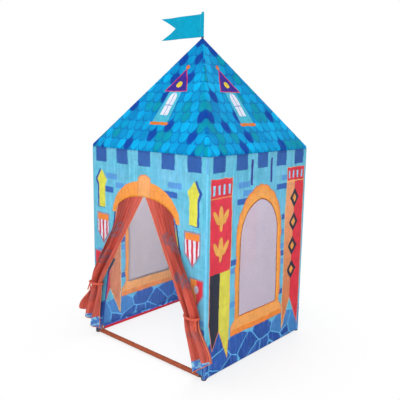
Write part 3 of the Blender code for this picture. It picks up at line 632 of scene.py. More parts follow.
def wall_ripple(face, across, height):
    """How far the cloth bows out of its flat: soft billows, and puckers below the roof's edge."""
    held = smooth_step(POLE_HALF, POLE_HALF - POST_HOLD, abs(across))
    held *= smooth_step(*FOOT_HOLD, height) * smooth_step(WALL_TOP, WALL_TOP - EAVE_HOLD, height)
    spot = (across, height, face)
    billow = swell(spot, BILLOW_SCALES) + RUFFLE_SHARE * swell(spot, RUFFLE_SCALES)
    pucker = swell(spot, PUCKER_SCALES)
    pucker *= PUCKER_LEAST + smooth_step(WALL_TOP - PUCKER_REACH[0], WALL_TOP - PUCKER_REACH[1], height)
    depth = WALL_BILLOW * (billow - BILLOW_INWARDS) + WALL_PUCKER * pucker
    if face == 0:
        beside = max(abs(across) - door_jamb(height), height - door_arch(across))
        held *= smooth_step(0.0, DOOR_HOLD, beside)
        depth = min(depth, 0)
    return depth * held


def wall_spot(face, across, height, offset=CLOTH_OFFSET):
    """A point of the cloth of a wall: past the posts it turns round them, and below the base
    tubes it turns under them."""
    turn = max(abs(across) - POLE_HALF, 0) / offset
    wrap = max(BASE_HEIGHT - height, 0) / offset
    x = copysign(min(abs(across), POLE_HALF) + offset * sin(turn), across)
    y = POLE_HALF + offset * cos(turn) * cos(wrap)
    z = max(height, BASE_HEIGHT) - offset * sin(wrap)
    if turn == 0 and wrap == 0:
        y += wall_ripple(face, across, height)
    return face_turn(face) @ Vector((x, -y, z)) + TENT_CENTRE


MERLON_PITCH = 0.155
MERLON_HALF = 0.0405
MERLON_FOOT = 0.909
MERLON_SPREAD = 0.36
BRICK_HALF = (0.041, 0.0135)
STONE_PACKING = 8.6
STONE_FLATNESS = 1.3
STONE_BAND = 0.150
STONE_PALE = 0.80
BANNER_EDGING = 0.004
FLEUR_SIZE = 0.105
INSIDE_PALE = 0.07
INSIDE_PAINTED_LIGHT = 0.18
HEM_TAPE = (-0.027, -0.002)


def inner_side(finish):
    """1 on the side of an upright cloth that faces into the tent, and 0 on the other."""
    spot, faces = finish.place(), finish.start.node("ShaderNodeTexCoord", {}, {}, 1)
    outwards = spot.part(0) * faces.part(0) + (spot.part(1) - SETBACK) * faces.part(1)
    return (-outwards).over(0.1)


class CastlePrint(Print):
    """The walls' pattern: pale blue stone with bricks, battlements and a band of big stones."""

    def __init__(self, name, pale_bricks, dark_bricks):
        super().__init__(name, 0.6, 0.008, Specular_IOR_Level=0.12)
        self.colour = self.cut.mottled(5.0, 1.0, "52b2d8", "86c9e0")
        self.lay((self.cut.noise(4.2) - 0.5).over(0.24) * 0.55, "52bdd0")
        self.lay((self.brush((120.0, 5.0, 1.0)) - 0.58).over(0.12) * 0.30, "a2def0")
        self.bricks(pale_bricks, "5a9ad8")
        self.bricks(dark_bricks, "3560b2")
        spot = self.x.vector(self.z * STONE_FLATNESS)
        packing = {"Vector": spot, "Scale": STONE_PACKING}
        gap, tone, middle = [spot.node("ShaderNodeTexVoronoi", {"feature": feature}, packing, output)
                             for feature, output in (("DISTANCE_TO_EDGE", 0), ("F1", 1), ("F1", 2))]
        tone = tone.part(0)
        band = middle.part(1).below(STONE_BAND * STONE_FLATNESS).most((0.03 - self.z).over(0.002))
        self.lay(band, "1c3f96")
        self.lay(band * tone * 0.7, "396cc4")
        self.lay(band * (tone - STONE_PALE).over(0.03) * 0.7, "4a92cc")
        self.lay(band * (self.brush((90.0, 12.0, 1.0)) - 0.56).over(0.10) * 0.45, "5a84d0")
        self.lay(band * (0.026 - gap).over(0.02), "68bcec")

    def bricks(self, places, code):
        """Bricks, whose middles are listed."""
        inside = None
        for across, up in places:
            brick = (BRICK_HALF[0] - abs(self.x - across)).least(BRICK_HALF[1] - abs(self.z - up))
            inside = brick if inside is None else inside.most(brick)
        self.lay(inside.over(INK_EDGE), code)

    def arrow_window(self):
        """A yellow arrow-slit window on each side, with its dark reveal."""
        head = [(0.284, 0.792), (0.331, 0.792), (0.343, 0.824), (0.310, 0.872), (0.271, 0.824)]
        for shift, grow, code in ((0.011, 0.003, "2b4fa6"), (0.0, 0.0, "e2dc44")):
            x = self.side - shift
            stem = self.box(0.284 - grow, 0.331, 0.683 - grow, 0.80, x)
            self.lay(self.outline(head, x, grow).most(stem), code)

    def shield(self, middle, half, top, shoulder, tip, rim, code):
        """A plain shield on each side, with its grey rim: gives where its face is."""
        shape = [(middle - half, top), (middle - half, shoulder), (middle, tip),
                 (middle + half, shoulder), (middle + half, top)]
        self.patch(shape, "8d8ba6", self.side, rim)
        self.patch(shape, code, self.side)
        return self.outline(shape, self.side)

    def banner(self, halves, edging=BANNER_EDGING):
        """A swallow-tailed banner, a corner list and two dyes for each half: the edging comes first."""
        for corners, edge_code, code in halves:
            self.patch(corners, edge_code, grow=edging)
        for corners, edge_code, code in halves:
            self.patch(corners, code)

    def fleur(self, across, up):
        """A plain three-petalled ornament."""
        x, size = self.x - across, FLEUR_SIZE
        wing = self.oval((0.30 * size, up + 0.04 * size), (0.12 * size, 0.34 * size), abs(x), turn=-0.55)
        petal = self.oval((0, up + 0.06 * size), (0.15 * size, 0.46 * size), x)
        foot = self.oval((0, up - 0.34 * size), (0.10 * size, 0.20 * size), x)
        band = self.box(-0.32 * size, 0.32 * size, up - 0.20 * size, up - 0.11 * size, x)
        self.lay(wing.most(petal).most(foot).most(band), "f0b04a")

    def fringe(self, left, right, low, high):
        """The slots in a banner's top, four across."""
        pitch = (right - left) / 4
        step = (self.x - left).modulo(pitch) - pitch / 2
        slot = (0.0065 - abs(step)).least(self.z - low).least(high - self.z)
        slot = slot.least((right - self.x).least(self.x - left))
        self.lay(slot.over(INK_EDGE), "8fd8f0")

    def arch_depth(self, widen=1.0, lift=1.0):
        """How far inside the window's pointed arch a place is, or inside one so much wider and higher."""
        run = self.side / widen + WINDOW_EXCESS
        rise = (self.z - WINDOW_SPRING).most(0.0) / lift
        return WINDOW_HALF + WINDOW_EXCESS - (run * run + rise * rise).root()

    def complete(self, hem=True):
        """Adds the battlements, a paler inner side, where the print shows through from the back and painted
        light brightens it further, and the red tape that binds the foot's hem.
        """
        step = self.x - (self.x / MERLON_PITCH).nearest() * MERLON_PITCH
        merlon = (MERLON_HALF - abs(step)).least(self.z - MERLON_FOOT).least(MERLON_SPREAD - self.side)
        self.lay(merlon.over(INK_EDGE), "305ba6")
        inner = inner_side(self)
        self.lay(inner * INSIDE_PALE, "b4d2f4")
        # Painted light: the inner side is brightened, standing in for light that comes through the cloth.
        self.colour = self.colour.dimmed(inner * INSIDE_PAINTED_LIGHT + 1.0)
        if hem:
            self.lay((HEM_TAPE[1] - self.up).least(self.up - HEM_TAPE[0]).over(0.001), "ee2f3a")
        self.wash((85.0, 5.0, 1.0), 0.34)
        self.emboss(0.19, 0.33, 0.0026, self.gathers(0.80, 0.97) * 2.4)
        self.let_light_through(0.22, "acd8ec")


JAMB_SHADOW_WIDTH = 0.009
DOOR_FRAME_HALF = 0.228
DOOR_FRAME_TOP = 0.174
DOOR_FRAME_FOOT = 0.672

front_cloth = CastlePrint(
    "front_wall_print",
    [(-0.238, 0.842), (-0.166, 0.802), (0.196, 0.842), (-0.312, 0.452), (0.334, 0.262)],
    [(-0.262, 0.776), (0.170, 0.800), (-0.330, 0.412), (0.352, 0.222)])
front_x, front_z = front_cloth.side, front_cloth.z
front_cloth.arrow_window()
frame_rise = (front_z - DOOR_SPRING).most(0.0) / DOOR_FRAME_TOP
frame_run = front_x / DOOR_FRAME_HALF
jamb_slope = (DOOR_FOOT_HALF - DOOR_HALF) / (DOOR_SPRING - BASE_HEIGHT)
jamb_line = (DOOR_SPRING - front_cloth.up).most(0.0) * jamb_slope + DOOR_HALF
# Painted shadow: a dark blue band along each jamb below the arch, where the doorway's edge casts shade.
front_cloth.lay((jamb_line + JAMB_SHADOW_WIDTH - front_x).least(0.70 - front_z).over(0.001), "27479a")
door_frame = (1.0 - frame_run * frame_run - frame_rise * frame_rise).over(0.02)
door_frame = door_frame * (front_z - DOOR_FRAME_FOOT).over(0.002)
front_cloth.lay(door_frame, "fb9c32")
door_block = (front_z - DOOR_SPRING + 0.08).angle(front_x) * 5.2
front_cloth.lay(door_frame * (0.05 - abs(door_block.modulo(1.0) - 0.5)).over(0.05) * 0.35, "dd6a1c")
front_cloth.patch([(0.30, 0.0), (0.350, 0.0), (0.326, 0.056), (0.30, 0.056)], "b0603c", front_x)
for half, top, crown, code in ((0.044, 0.848, 0.026, "f0782a"), (0.041, 0.847, 0.023, "fcab5c")):
    keystone = front_cloth.box(-half, half, 0.75, top)
    front_cloth.lay(keystone.most(front_cloth.oval((0, top - 0.002), (half, crown))), code)
shield = front_cloth.shield(0.329, 0.037, 0.448, 0.384, 0.334, 0.007, "f5903a")
front_cloth.lay(shield * (front_x - 0.329).over(INK_EDGE), "e23240")
front_cloth.lay(front_cloth.oval((0.329, 0.404), (0.016, 0.018), front_x), "c9c6d6")
shield = front_cloth.shield(0.303, 0.041, 0.648, 0.560, 0.505, 0.008, "e8e6f0")
front_cloth.lay(shield * (abs((front_x - 0.303).modulo(0.027) - 0.0135) - 0.0070).over(INK_EDGE), "d8303e")
front_cloth.patch([(0.262, 0.618), (0.344, 0.618), (0.344, 0.648), (0.262, 0.648)], "f58a2e", front_x)
front_cloth.complete(hem=False)

WINDOW_FRAME_WIDEN = 1.215
WINDOW_FRAME_LIFT = 1.423
WINDOW_BINDING = 0.0035

side_cloth = CastlePrint(
    "side_wall_print",
    [(-0.133, 0.842), (-0.100, 0.802), (0.206, 0.848), (0.199, 0.575), (0.199, 0.504), (0.196, 0.424),
     (-0.190, 0.459), (-0.200, 0.300)],
    [(-0.138, 0.768), (0.167, 0.806), (0.222, 0.651), (0.199, 0.466), (-0.193, 0.497), (0.190, 0.268)])
for slot_place in (-0.079, 0.074):
    side_cloth.lay(side_cloth.box(slot_place - 0.0075, slot_place + 0.0075, 0.836, 0.952), "3a2a92")
side_cloth.banner([
    ([(-0.358, 0.25), (-0.333, 0.126), (-0.287, 0.204), (-0.287, 0.88), (-0.358, 0.88)], "f0824a", "2d2832"),
    ([(-0.287, 0.204), (-0.231, 0.071), (-0.219, 0.20), (-0.219, 0.88), (-0.287, 0.88)], "f0b23c", "e2d846")])
side_cloth.lay(side_cloth.box(-0.360, -0.218, 0.470, 0.882), "e5303f")
side_cloth.fringe(-0.358, -0.219, 0.815, 0.857)
side_cloth.lay(side_cloth.box(-0.360, -0.218, 0.799, 0.804), "f5964e")
for fleur_height in (0.712, 0.575):
    side_cloth.fleur(-0.289, fleur_height)
peach_half = [(0.212, 0.20), (0.218, 0.072), (0.281, 0.219), (0.285, 0.89), (0.212, 0.89)]
red_half = [(0.281, 0.219), (0.356, 0.065), (0.361, 0.20), (0.361, 0.89), (0.285, 0.89)]
side_cloth.banner([(peach_half, "f6c46a", "f8a268"), (red_half, "f0824a", "e62e3a")])
side_cloth.lay(side_cloth.outline(peach_half) * side_cloth.z.ramp(0.70, 0.25), "e0824a")
side_cloth.lay(side_cloth.box(0.211, 0.362, 0.828, 0.892), "e62e3a")
side_cloth.fringe(0.212, 0.361, 0.840, 0.876)
side_cloth.lay(side_cloth.box(0.211, 0.362, 0.823, 0.828), "f6c46a")
lozenge_rise = (side_cloth.z - 0.30).modulo(0.125) - 0.0625
lozenge = 1.0 - abs(side_cloth.x - 0.286) / 0.040 - abs(lozenge_rise) / 0.050
lozenge = lozenge.least((side_cloth.z - 0.30) / 0.04).least((0.80 - side_cloth.z) / 0.04)
side_cloth.lay(lozenge.over(0.05), "2a2430")
side_cloth.lay((lozenge - 0.55).over(0.05), "f4a23c")
window_frame = side_cloth.arch_depth(WINDOW_FRAME_WIDEN, WINDOW_FRAME_LIFT)
window_frame = (window_frame + (side_cloth.cut.noise(16.0, 1.0) - 0.5) * 0.022).least(side_cloth.z - 0.20)
side_cloth.lay((window_frame + 0.003).over(INK_EDGE), "e6741e")
side_cloth.lay(window_frame.over(INK_EDGE), "fb9c32")
side_cloth.lay((window_frame - 0.012).over(0.012) * 0.6, "fdb252")
hole_edge = side_cloth.arch_depth().least(side_cloth.z - WINDOW_SILL) + WINDOW_BINDING
side_cloth.lay(hole_edge.over(INK_EDGE), "a8401e")
sill_shape = [(-0.205, 0.150), (0.205, 0.150), (0.202, 0.190),
              (0.168, 0.228), (-0.168, 0.228), (-0.202, 0.190)]
side_cloth.patch(sill_shape, "e6741e", grow=0.003)
side_cloth.patch(sill_shape, "fdaa54")
side_cloth.lay(side_cloth.box(-0.205, 0.205, 0.150, 0.174) * side_cloth.outline(sill_shape), "f98c26")
side_cloth.complete()

back_cloth = CastlePrint(
    "back_wall_print",
    [(-0.180, 0.842), (0.150, 0.800), (0.236, 0.560), (-0.210, 0.470), (-0.150, 0.300), (0.300, 0.330)],
    [(-0.150, 0.800), (0.196, 0.842), (0.205, 0.520), (-0.262, 0.430), (0.160, 0.262), (0.268, 0.290)])
back_cloth.arrow_window()
back_cloth.banner([([(-0.085, 0.35), (0, 0.23), (0.085, 0.35), (0.085, 0.82), (-0.085, 0.82)],
                    "f0b23c", "e5303f")], 0.005)
back_cloth.fringe(-0.085, 0.085, 0.765, 0.803)
for fleur_height in (0.660, 0.500, 0.365):
    back_cloth.fleur(0.0, fleur_height)
back_cloth.complete()


def wall(name, face, cloth, arch, hole_half, sill, spring, tape):
    """One wall panel, with its opening where it has an arch."""
    seam = POLE_HALF + CLOTH_OFFSET * pi / 4 - CORNER_SEAM / 2
    outer = between(POLE_HALF, seam, CORNER_STEPS)
    side = between(hole_half, SLEEVE_HALF, SIDE_COLUMNS)[1:]
    hole = [-hole_half * cos(angle) for angle in between(0, pi, HOLE_COLUMNS)]
    columns = [*[-at for at in reversed([*side, *outer])], *hole, *side, *outer]
    first_hole = len(side) + len(outer)
    hem = face != 0
    low_row = HEM_STEPS - 1 if hem else 0
    if hem:
        foot = [BASE_HEIGHT - CLOTH_OFFSET * turn for turn in between(HEM_END, 0, HEM_STEPS)]
        low = between(BASE_HEIGHT, sill, SILL_ROWS)[1:]
        sill_row = len(foot) + len(low) - 1
    else:
        foot = [BASE_HEIGHT]
        low = [BASE_HEIGHT + SEAM_REACH * sin(SEAM_TURN), sill]
        sill_row = 1
    heights = [*foot, *low, *between(sill, spring, JAMB_ROWS)[1:], *between(spring, WALL_TOP, HEAD_ROWS)[1:]]
    rows = len(heights) - 1
    spring_row = rows - HEAD_ROWS

    def place(i, j):
        across, height = columns[i], heights[j]
        if arch and first_hole <= i <= first_hole + HOLE_COLUMNS and j >= spring_row:
            edge = arch(across)
            height = edge + (WALL_TOP - edge) * (j - spring_row) / (rows - spring_row)
        if not hem and j < spring_row:
            across = jamb_flare(across, height)
        spot = wall_spot(face, across, height)
        if j == low_row and abs(columns[i]) > SLEEVE_HALF + HAIR:
            spot = wall_spot(face, across, BASE_HEIGHT)
            spot.z = CORNER_HANG
        if not hem and j <= sill_row and abs(across) < POLE_HALF:
            spot.y = TENT_CENTRE.y - POLE_HALF - SEAM_REACH * cos(SEAM_TURN)
        return spot, (across, height)

    def keep(i, j):
        near, far = sorted((abs(columns[i]), abs(columns[i + 1])))
        if hem and j < HEM_STEPS:
            return far <= SLEEVE_HALF + HAIR or (j == low_row and near >= SLEEVE_HALF - HAIR)
        if not hem and j < sill_row:
            return near >= POLE_HALF - HAIR
        return not (arch and first_hole <= i < first_hole + HOLE_COLUMNS and sill_row <= j < spring_row)

    bm = cut_sheet(len(columns) - 1, rows, place, keep)
    area = sum(f.calc_area() for f in bm.faces)
    made = finished(name + "_cover", bm, cloth, "tent", CLOTH_THICKNESS)
    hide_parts(name)


# Corner tapes: a narrow strip of the walls' polyester binds the seam where two walls meet over a
# corner post, from the roof's edge to the floor. It is stitched down along both edges.
TAPE_HALF = 0.0045
TAPE_PROUD = 0.0009
TAPE_SHORT = 0.001
TAPE_ROWS = 60
TAPE_COLUMNS = 4
TAPE_THICKNESS = 0.0006

tape_cloth = Print("corner_tape", 0.6, Specular_IOR_Level=0.1)
tape_cloth.colour = dye("5ab6dc")
tape_cloth.lay((STONE_BAND + 0.012 - tape_cloth.up).over(0.004), "2650a6")
tape_cloth.lay((tape_cloth.up - MERLON_FOOT).over(0.002), "4a92ca")
tape_stitch = (0.0009 - abs(tape_cloth.side - TAPE_HALF * 0.62)).over(0.0005)
tape_cloth.lay(tape_stitch * (tape_cloth.up.modulo(0.005) - 0.0014).over(0.0006) * 0.6, "a4dcf2")
tape_cloth.wash((200.0, 30.0, 1.0), 0.12)
tape_cloth.emboss(1.0, 0.33, 0.0006)


def corner_tape(name, face):
    bow = CLOTH_OFFSET + TAPE_PROUD

    def place(i, j):
        along = (i / TAPE_COLUMNS * 2 - 1) * TAPE_HALF
        height = CORNER_HANG + (WALL_TOP - TAPE_SHORT - CORNER_HANG) * j / TAPE_ROWS
        turn = pi / 4 + along / bow
        spot = Vector((POLE_HALF + bow * sin(turn), -POLE_HALF - bow * cos(turn), height))
        return face_turn(face) @ spot + TENT_CENTRE, (along, height)

    tape = finished(name, cut_sheet(TAPE_COLUMNS, TAPE_ROWS, place), tape_cloth, "tent", TAPE_THICKNESS)
    return tape


# Each wall goes with the tape at its right-hand edge, seen from outside.
WINDOW_OPENING = (WINDOW_HALF, WINDOW_SILL, WINDOW_SPRING)
for face, (wall_name, tape_name, wall_cloth, arch, opening) in enumerate((
        ("front_wall", "front_right_corner_tape", front_cloth, door_arch,
         (DOOR_HALF, BASE_HEIGHT + SEAM_RISE, DOOR_SPRING)),
        ("right_wall", "back_right_corner_tape", side_cloth, window_arch, WINDOW_OPENING),
        ("back_wall", "back_left_corner_tape", back_cloth, None, WINDOW_OPENING),
        ("left_wall", "front_left_corner_tape", side_cloth, window_arch, WINDOW_OPENING))):
    wall(wall_name, face, wall_cloth, arch, *opening, corner_tape(tape_name, face))


# Window nets: fine knitted polyester mesh, which lets light and air in. Each is cut a little larger
# than its window and sewn to the inside of the side wall round it.
NET_SEAM = 0.012
NET_SHOULDER = 0.004
NET_SILL_ROWS = 26
NET_HEAD_ROWS = 16
NET_COLUMNS = 24
NET_THICKNESS = 0.0004
NET_INSET = 0.0013
NET_PITCH = 0.0022

net_finish = Finish("window_net", 0.85, Specular_IOR_Level=0.2)
net_cut = net_finish.place("cut")
net_cloud = net_cut.noise(9.0)
net_outside = net_cloud.mix(dye("cfc2d2"), dye("e2d6e2"))
# Painted shade: the inner face of the net gets a darker, greyer copy of its colour.
net_shaded_inside = net_cloud.mix(dye("c6bdc0"), dye("d8d0d2"))
net_finish.feed("Base Color", inner_side(net_finish).mix(net_outside, net_shaded_inside))
net_turn = pi / NET_PITCH
net_hole = abs((net_cut.part(0) * net_turn).sine() * (net_cut.part(1) * net_turn).sine())
net_finish.feed("Alpha", 1.0 - (net_hole - 0.60).over(0.2) * 0.85)
net_finish.bump(net_cloud - net_hole * 0.1, 0.003)
net_finish.let_light_through(0.30, "ccc0cc")


def window_net(side, face):
    half = WINDOW_HALF + NET_SEAM
    low = WINDOW_SILL - NET_SEAM

    def place(i, j):
        across = -half * cos(pi * i / NET_COLUMNS)
        if j <= NET_SILL_ROWS:
            height = low + (WINDOW_SPRING - low) * j / NET_SILL_ROWS
        else:
            top = max(window_arch(across, NET_SEAM), WINDOW_SPRING + NET_SHOULDER)
            height = WINDOW_SPRING + (top - WINDOW_SPRING) * (j - NET_SILL_ROWS) / NET_HEAD_ROWS
        inwards = face_turn(face) @ Vector((0, NET_INSET, 0))
        return wall_spot(face, across, height) + inwards, (across, height)

    bm = cut_sheet(NET_COLUMNS, NET_SILL_ROWS + NET_HEAD_ROWS, place)
    made = finished(side + "_window_net_mesh", bm, net_finish, "tent", NET_THICKNESS)
    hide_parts(side + "_window_net")


window_net("right", 1)
window_net("left", 3)


# Door curtains: thin printed polyester, sewn behind the arch, swept past the jambs and gathered by
# a tie at each front post, below which they flare to a hem. Each is one cloth from arch to hem.
TIE_HEIGHT = 0.300
TIE_CENTRE = 0.330
TIE_FRONT = 0.41110
BUNDLE_HALF_WIDTH = 0.039
BUNDLE_HALF_DEPTH = 0.0235
FOLD_WAVES = 2.5
CURTAIN_INNER = 0.005
CURTAIN_OUTER = 0.190
CURTAIN_SEAM = 0.008
BEHIND_WALL = 0.38242
PAST_JAMB = 0.38782
INNER_LEAN_SHARE = 0.35
OUTER_DROP = 0.140
TIE_APPROACH = 0.075
TIE_LEAN = 0.050
HEM_INNER = 0.335
HEM_OUTER = 0.458
HEM_LOW = 0.035
HEM_HIGH = 0.125
HEM_FOLD = 0.017
HEM_LEAN = 0.060
TIE_WIDTH = 0.012
TIE_DROP = 0.004
CURTAIN_STEPS = 60
CURTAIN_UPPER_ROWS = 60
CURTAIN_LOWER_ROWS = 28
CURTAIN_CUT = (0.26, 0.80)
UPPER_CUT = 0.52
CUT_GAP = 0.01
CURTAIN_PUCKER = 0.0042
CURTAIN_INWARD_LIMIT = 0.001
CURTAIN_SWELL_SCALES = (9, 9, 2)
CURTAIN_RUFFLE_SCALES = (24, 14, 5)
CURTAIN_RUFFLE_SHARE = 0.6
CURTAIN_OUTWARDS = 0.4
PUCKER_CALM_SHARE = 0.35
PUCKER_CALM_ROWS = 6
PIPING_RADIUS = 0.0017
PIPING_SIDES = 6
PIPING_CORD = 0.0016
PIPING_CUT = (0.01, 0.001)
HEM_BAND = 0.082
HEM_BAND_FALL = 0.34
PLANK_WIDTH = 0.052
PLANK_LINE = 0.0012
STRAPS = ((0.180, 0.35), (0.475, 0.85), (0.625, 0.80))
STRAP_HALF = 0.011
STRAP_START = 0.095
LOZENGE_PLACE = 0.085
LOZENGE_HALF = 0.026
CURL_PLACES = (0.135, 0.205)
CURL_RADIUS = 0.034
CURL_HALF = 0.0055

curtain_cloth = Print("curtain_print", 0.5, 0.012, Specular_IOR_Level=0.3, Sheen_Weight=0.06)
curtain_x, curtain_z = curtain_cloth.x, curtain_cloth.z
# Upright streaks from dark to light red: the cloth's own uneven tone, and painted shade of its folds.
curtain_streaks_and_fold_shade = curtain_cloth.cut.stretched((60.0, 4.0, 1.0)).noise(1.0, 3.0)
curtain_cloth.colour = ((curtain_streaks_and_fold_shade - 0.5) * 1.8 + 0.5).mix(dye("8a261e"), dye("ec6654"))
# Painted shade: the upper outer part of each curtain is darkened.
curtain_painted_shade = curtain_cloth.across.ramp(0.10, 0.20) * curtain_cloth.up.ramp(0.36, 0.56)
curtain_cloth.lay(curtain_painted_shade * 0.45, "6e2018")
# Painted light: the part near the free edge and the lower part of each curtain are lightened.
curtain_painted_light = curtain_cloth.across.ramp(0.10, 0.05).most(curtain_cloth.up.ramp(0.27, 0.22))
curtain_cloth.lay(curtain_painted_light * 0.22, "fc8e7a")
plank_line = PLANK_LINE - abs(curtain_x.modulo(PLANK_WIDTH) - PLANK_WIDTH / 2)
curtain_cloth.lay(plank_line.over(INK_EDGE) * 0.45, "7c241c")
iron_worn = (curtain_cloth.cut.noise(60.0) - 0.26) * 3.4
for strap_height, strap_ink in STRAPS:
    rise = curtain_z - strap_height
    iron = (STRAP_HALF - abs(rise)).least(curtain_x - STRAP_START)
    iron = iron.most(LOZENGE_HALF - abs(curtain_x - LOZENGE_PLACE) - abs(rise))
    for curl_place in CURL_PLACES:
        curl_reach = ((curtain_x - curl_place) * (curtain_x - curl_place) + rise * rise).root()
        iron = iron.most(CURL_HALF - abs(curl_reach - CURL_RADIUS))
    curtain_cloth.lay(iron.over(0.002) * iron_worn.least(1.0) * strap_ink, "5c6074")
curtain_hem = (HEM_BAND - curtain_z - curtain_x * HEM_BAND_FALL).over(0.004)
curtain_cloth.lay(curtain_hem, "4a86d4")
curtain_cloth.lay(curtain_hem * (curtain_cloth.cut.noise(38.0, 1.0) - 0.52).over(0.03), "8fd2f2")
curtain_cloth.lay(curtain_hem * (curtain_cloth.cut.noise(24.0, 1.0) - 0.60).over(0.02), "234aa4")
curtain_cloth.wash((120.0, 8.0, 1.0), 0.22)
curtain_cloth.emboss(1.0, 1.0, 0.0012)
curtain_cloth.let_light_through(0.28, "dc4a3c")

piping_finish = Finish("curtain_piping", 0.55)
piping_spot = piping_finish.place()
piping_finish.feed("Base Color", piping_spot.mottled(60.0, 2.0, "d86a3e", "f08a5a"))
piping_finish.bump((piping_spot.part(2) * (tau / PIPING_CORD)).sine(), 0.0003)


def sided(spot, side):
    """A point worked out for the right-hand side, on the side that -1 or 1 stands for."""
    return Vector((side * spot.x, spot.y, spot.z))


def bezier(start, first, second, end, share):
    rest = 1 - share
    return (start * rest ** 3 + first * 3 * rest * rest * share
            + second * 3 * rest * share * share + end * share ** 3)


def fold(share):
    return cos(tau * FOLD_WAVES * share)


def tie_point(share):
    return Vector((
        TIE_CENTRE - BUNDLE_HALF_WIDTH * cos(pi * share),
        -TIE_FRONT + BUNDLE_HALF_DEPTH * sin(pi * share) * fold(share),
        TIE_HEIGHT,
    ))


def upper_curtain_point(across, down):
    x = CURTAIN_INNER + (CURTAIN_OUTER - CURTAIN_INNER) * across
    start = Vector((x, -BEHIND_WALL, door_arch(x) + CURTAIN_SEAM))
    end = tie_point(across)
    lean = (end - start) * INNER_LEAN_SHARE
    first = start + lean.lerp(Vector((0, 0, -OUTER_DROP)), across)
    first.y = -PAST_JAMB
    second = end + Vector((-TIE_LEAN * (1 - across), 0, TIE_APPROACH))
    return bezier(start, first, second, end, down)


def lower_curtain_point(across, down):
    start = tie_point(across) - Vector((0, 0, TIE_WIDTH + 2 * TIE_DROP))
    end = Vector((
        HEM_INNER + (HEM_OUTER - HEM_INNER) * across,
        -TIE_FRONT + HEM_FOLD * fold(across),
        HEM_LOW + (HEM_HIGH - HEM_LOW) * across,
    ))
    first = start - Vector((0, 0, HEM_LEAN))
    second = end + Vector((0, 0, HEM_LEAN))
    return bezier(start, first, second, end, down)


def curtain_point(across, j):
    """A point of the cloth, and the same point on the flat cut, with the arch at its top."""
    width, length = CURTAIN_CUT
    if j <= CURTAIN_UPPER_ROWS:
        down = j / CURTAIN_UPPER_ROWS
        return upper_curtain_point(across, down), (across * width, length - UPPER_CUT * down)
    down = (j - CURTAIN_UPPER_ROWS - 1) / (CURTAIN_LOWER_ROWS - 1)
    return lower_curtain_point(across, down), (across * width, (length - UPPER_CUT - CUT_GAP) * (1 - down))


def curtain_crumple(spot, across, j):
    """Small puckers: none at the arch, and most near the tie and the hem."""
    near = smooth_step(0.0, PUCKER_CALM_SHARE, j / CURTAIN_UPPER_ROWS)
    at = (across, spot.z, 1)
    depth = swell(at, CURTAIN_SWELL_SCALES) + CURTAIN_RUFFLE_SHARE * swell(at, CURTAIN_RUFFLE_SCALES)
    free = min(abs(j - CURTAIN_UPPER_ROWS) / PUCKER_CALM_ROWS, 1)
    return -CURTAIN_PUCKER * near * (depth + CURTAIN_OUTWARDS) * free


def curtain(name, side):
    rows = CURTAIN_UPPER_ROWS + CURTAIN_LOWER_ROWS

    def place(i, j):
        spot, cut = curtain_point(i / CURTAIN_STEPS, j)
        spot.y += min(curtain_crumple(spot, i / CURTAIN_STEPS, j), CURTAIN_INWARD_LIMIT)
        return sided(spot, side) + TENT_CENTRE, cut

    bm = cut_sheet(CURTAIN_STEPS, rows, place)
    area = sum(f.calc_area() for f in bm.faces)
    made = finished(name + "_curtain", bm, curtain_cloth, None, CLOTH_THICKNESS)
    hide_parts(name + "_curtain_upper", name + "_curtain_lower")

    free_edge = [(0, j) for j in range(rows)]
    hem_edge = [(i, rows) for i in range(CURTAIN_STEPS)]
    outer_edge = [(CURTAIN_STEPS, j) for j in range(rows, CURTAIN_UPPER_ROWS, -1)]
    path = [place(i, j)[0] for i, j in (*free_edge, *hem_edge, *outer_edge)]

    def round_edge(i, j):
        ahead = (path[min(i + 1, len(path) - 1)] - path[max(i - 1, 0)]).normalized()
        sideways = ahead.cross(Vector((0, -1, 0))).normalized()
        turn = tau * j / PIPING_SIDES
        rim = sideways * cos(turn) + ahead.cross(sideways) * sin(turn)
        return path[i] + rim * PIPING_RADIUS, (i * PIPING_CUT[0], j * PIPING_CUT[1])

    piping_bm = cut_sheet(len(path) - 1, PIPING_SIDES, round_edge)
    piping = finished(name + "_curtain_piping", piping_bm, piping_finish)
    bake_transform(made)
    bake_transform(piping)


curtain("left", -1)
curtain("right", 1)


# Tie-backs: a strip of the curtains' cloth round each bundle, knotted at its outer side with two
# short tails. It moves with the gathered cloth.
TIE_HALF_WIDTH = 0.04118
TIE_HALF_DEPTH = 0.025376
TIE_SWELL = 0.0010
TIE_PUCKER = 0.0009
TIE_PUCKERS = 17
TIE_PUCKER_SLANT = 1.5
TIE_EDGE_CALM = 0.4
TIE_WAVER = 0.0012
TIE_WAVER_TURN = 0.5
TIE_CLEARANCE = 0.0002
TIE_MEAN_RADIUS = 0.035
TIE_BAND_ROWS = 6
TIE_BAND_COLUMNS = 72
KNOT_TURN = radians(-30)
KNOT_RADIUS = 0.0080
KNOT_RELIEF = 0.10
KNOT_TWIST = 620
KNOT_STRANDS = 2
KNOT_GRAIN = 220
KNOT_FLATNESS = 0.85
TAIL_LENGTH = 0.046
TAIL_WIDTH = 0.009
TAIL_LEANS = (-0.30, 0.42)
TAIL_SPREAD = 0.026
TAIL_START = 0.0045
TAIL_CURL = 0.0022
TAIL_CURL_TURN = 3
TAIL_OUTWARDS = 0.004
TAIL_NECK_SHARE = 0.45
TAIL_NECK_END = 3
TAIL_CUT_STEP = 0.002
TAIL_COLUMNS = 4
TAIL_ROWS = 16

tie_finish = Finish("tie_back", 0.55, Specular_IOR_Level=0.3)
tie_spot = tie_finish.place()
tie_finish.feed("Base Color", tie_spot.mottled(90.0, 3.0, "a83c28", "d8604a"))
tie_finish.bump(tie_spot.noise(160.0, 3.0), 0.0012)


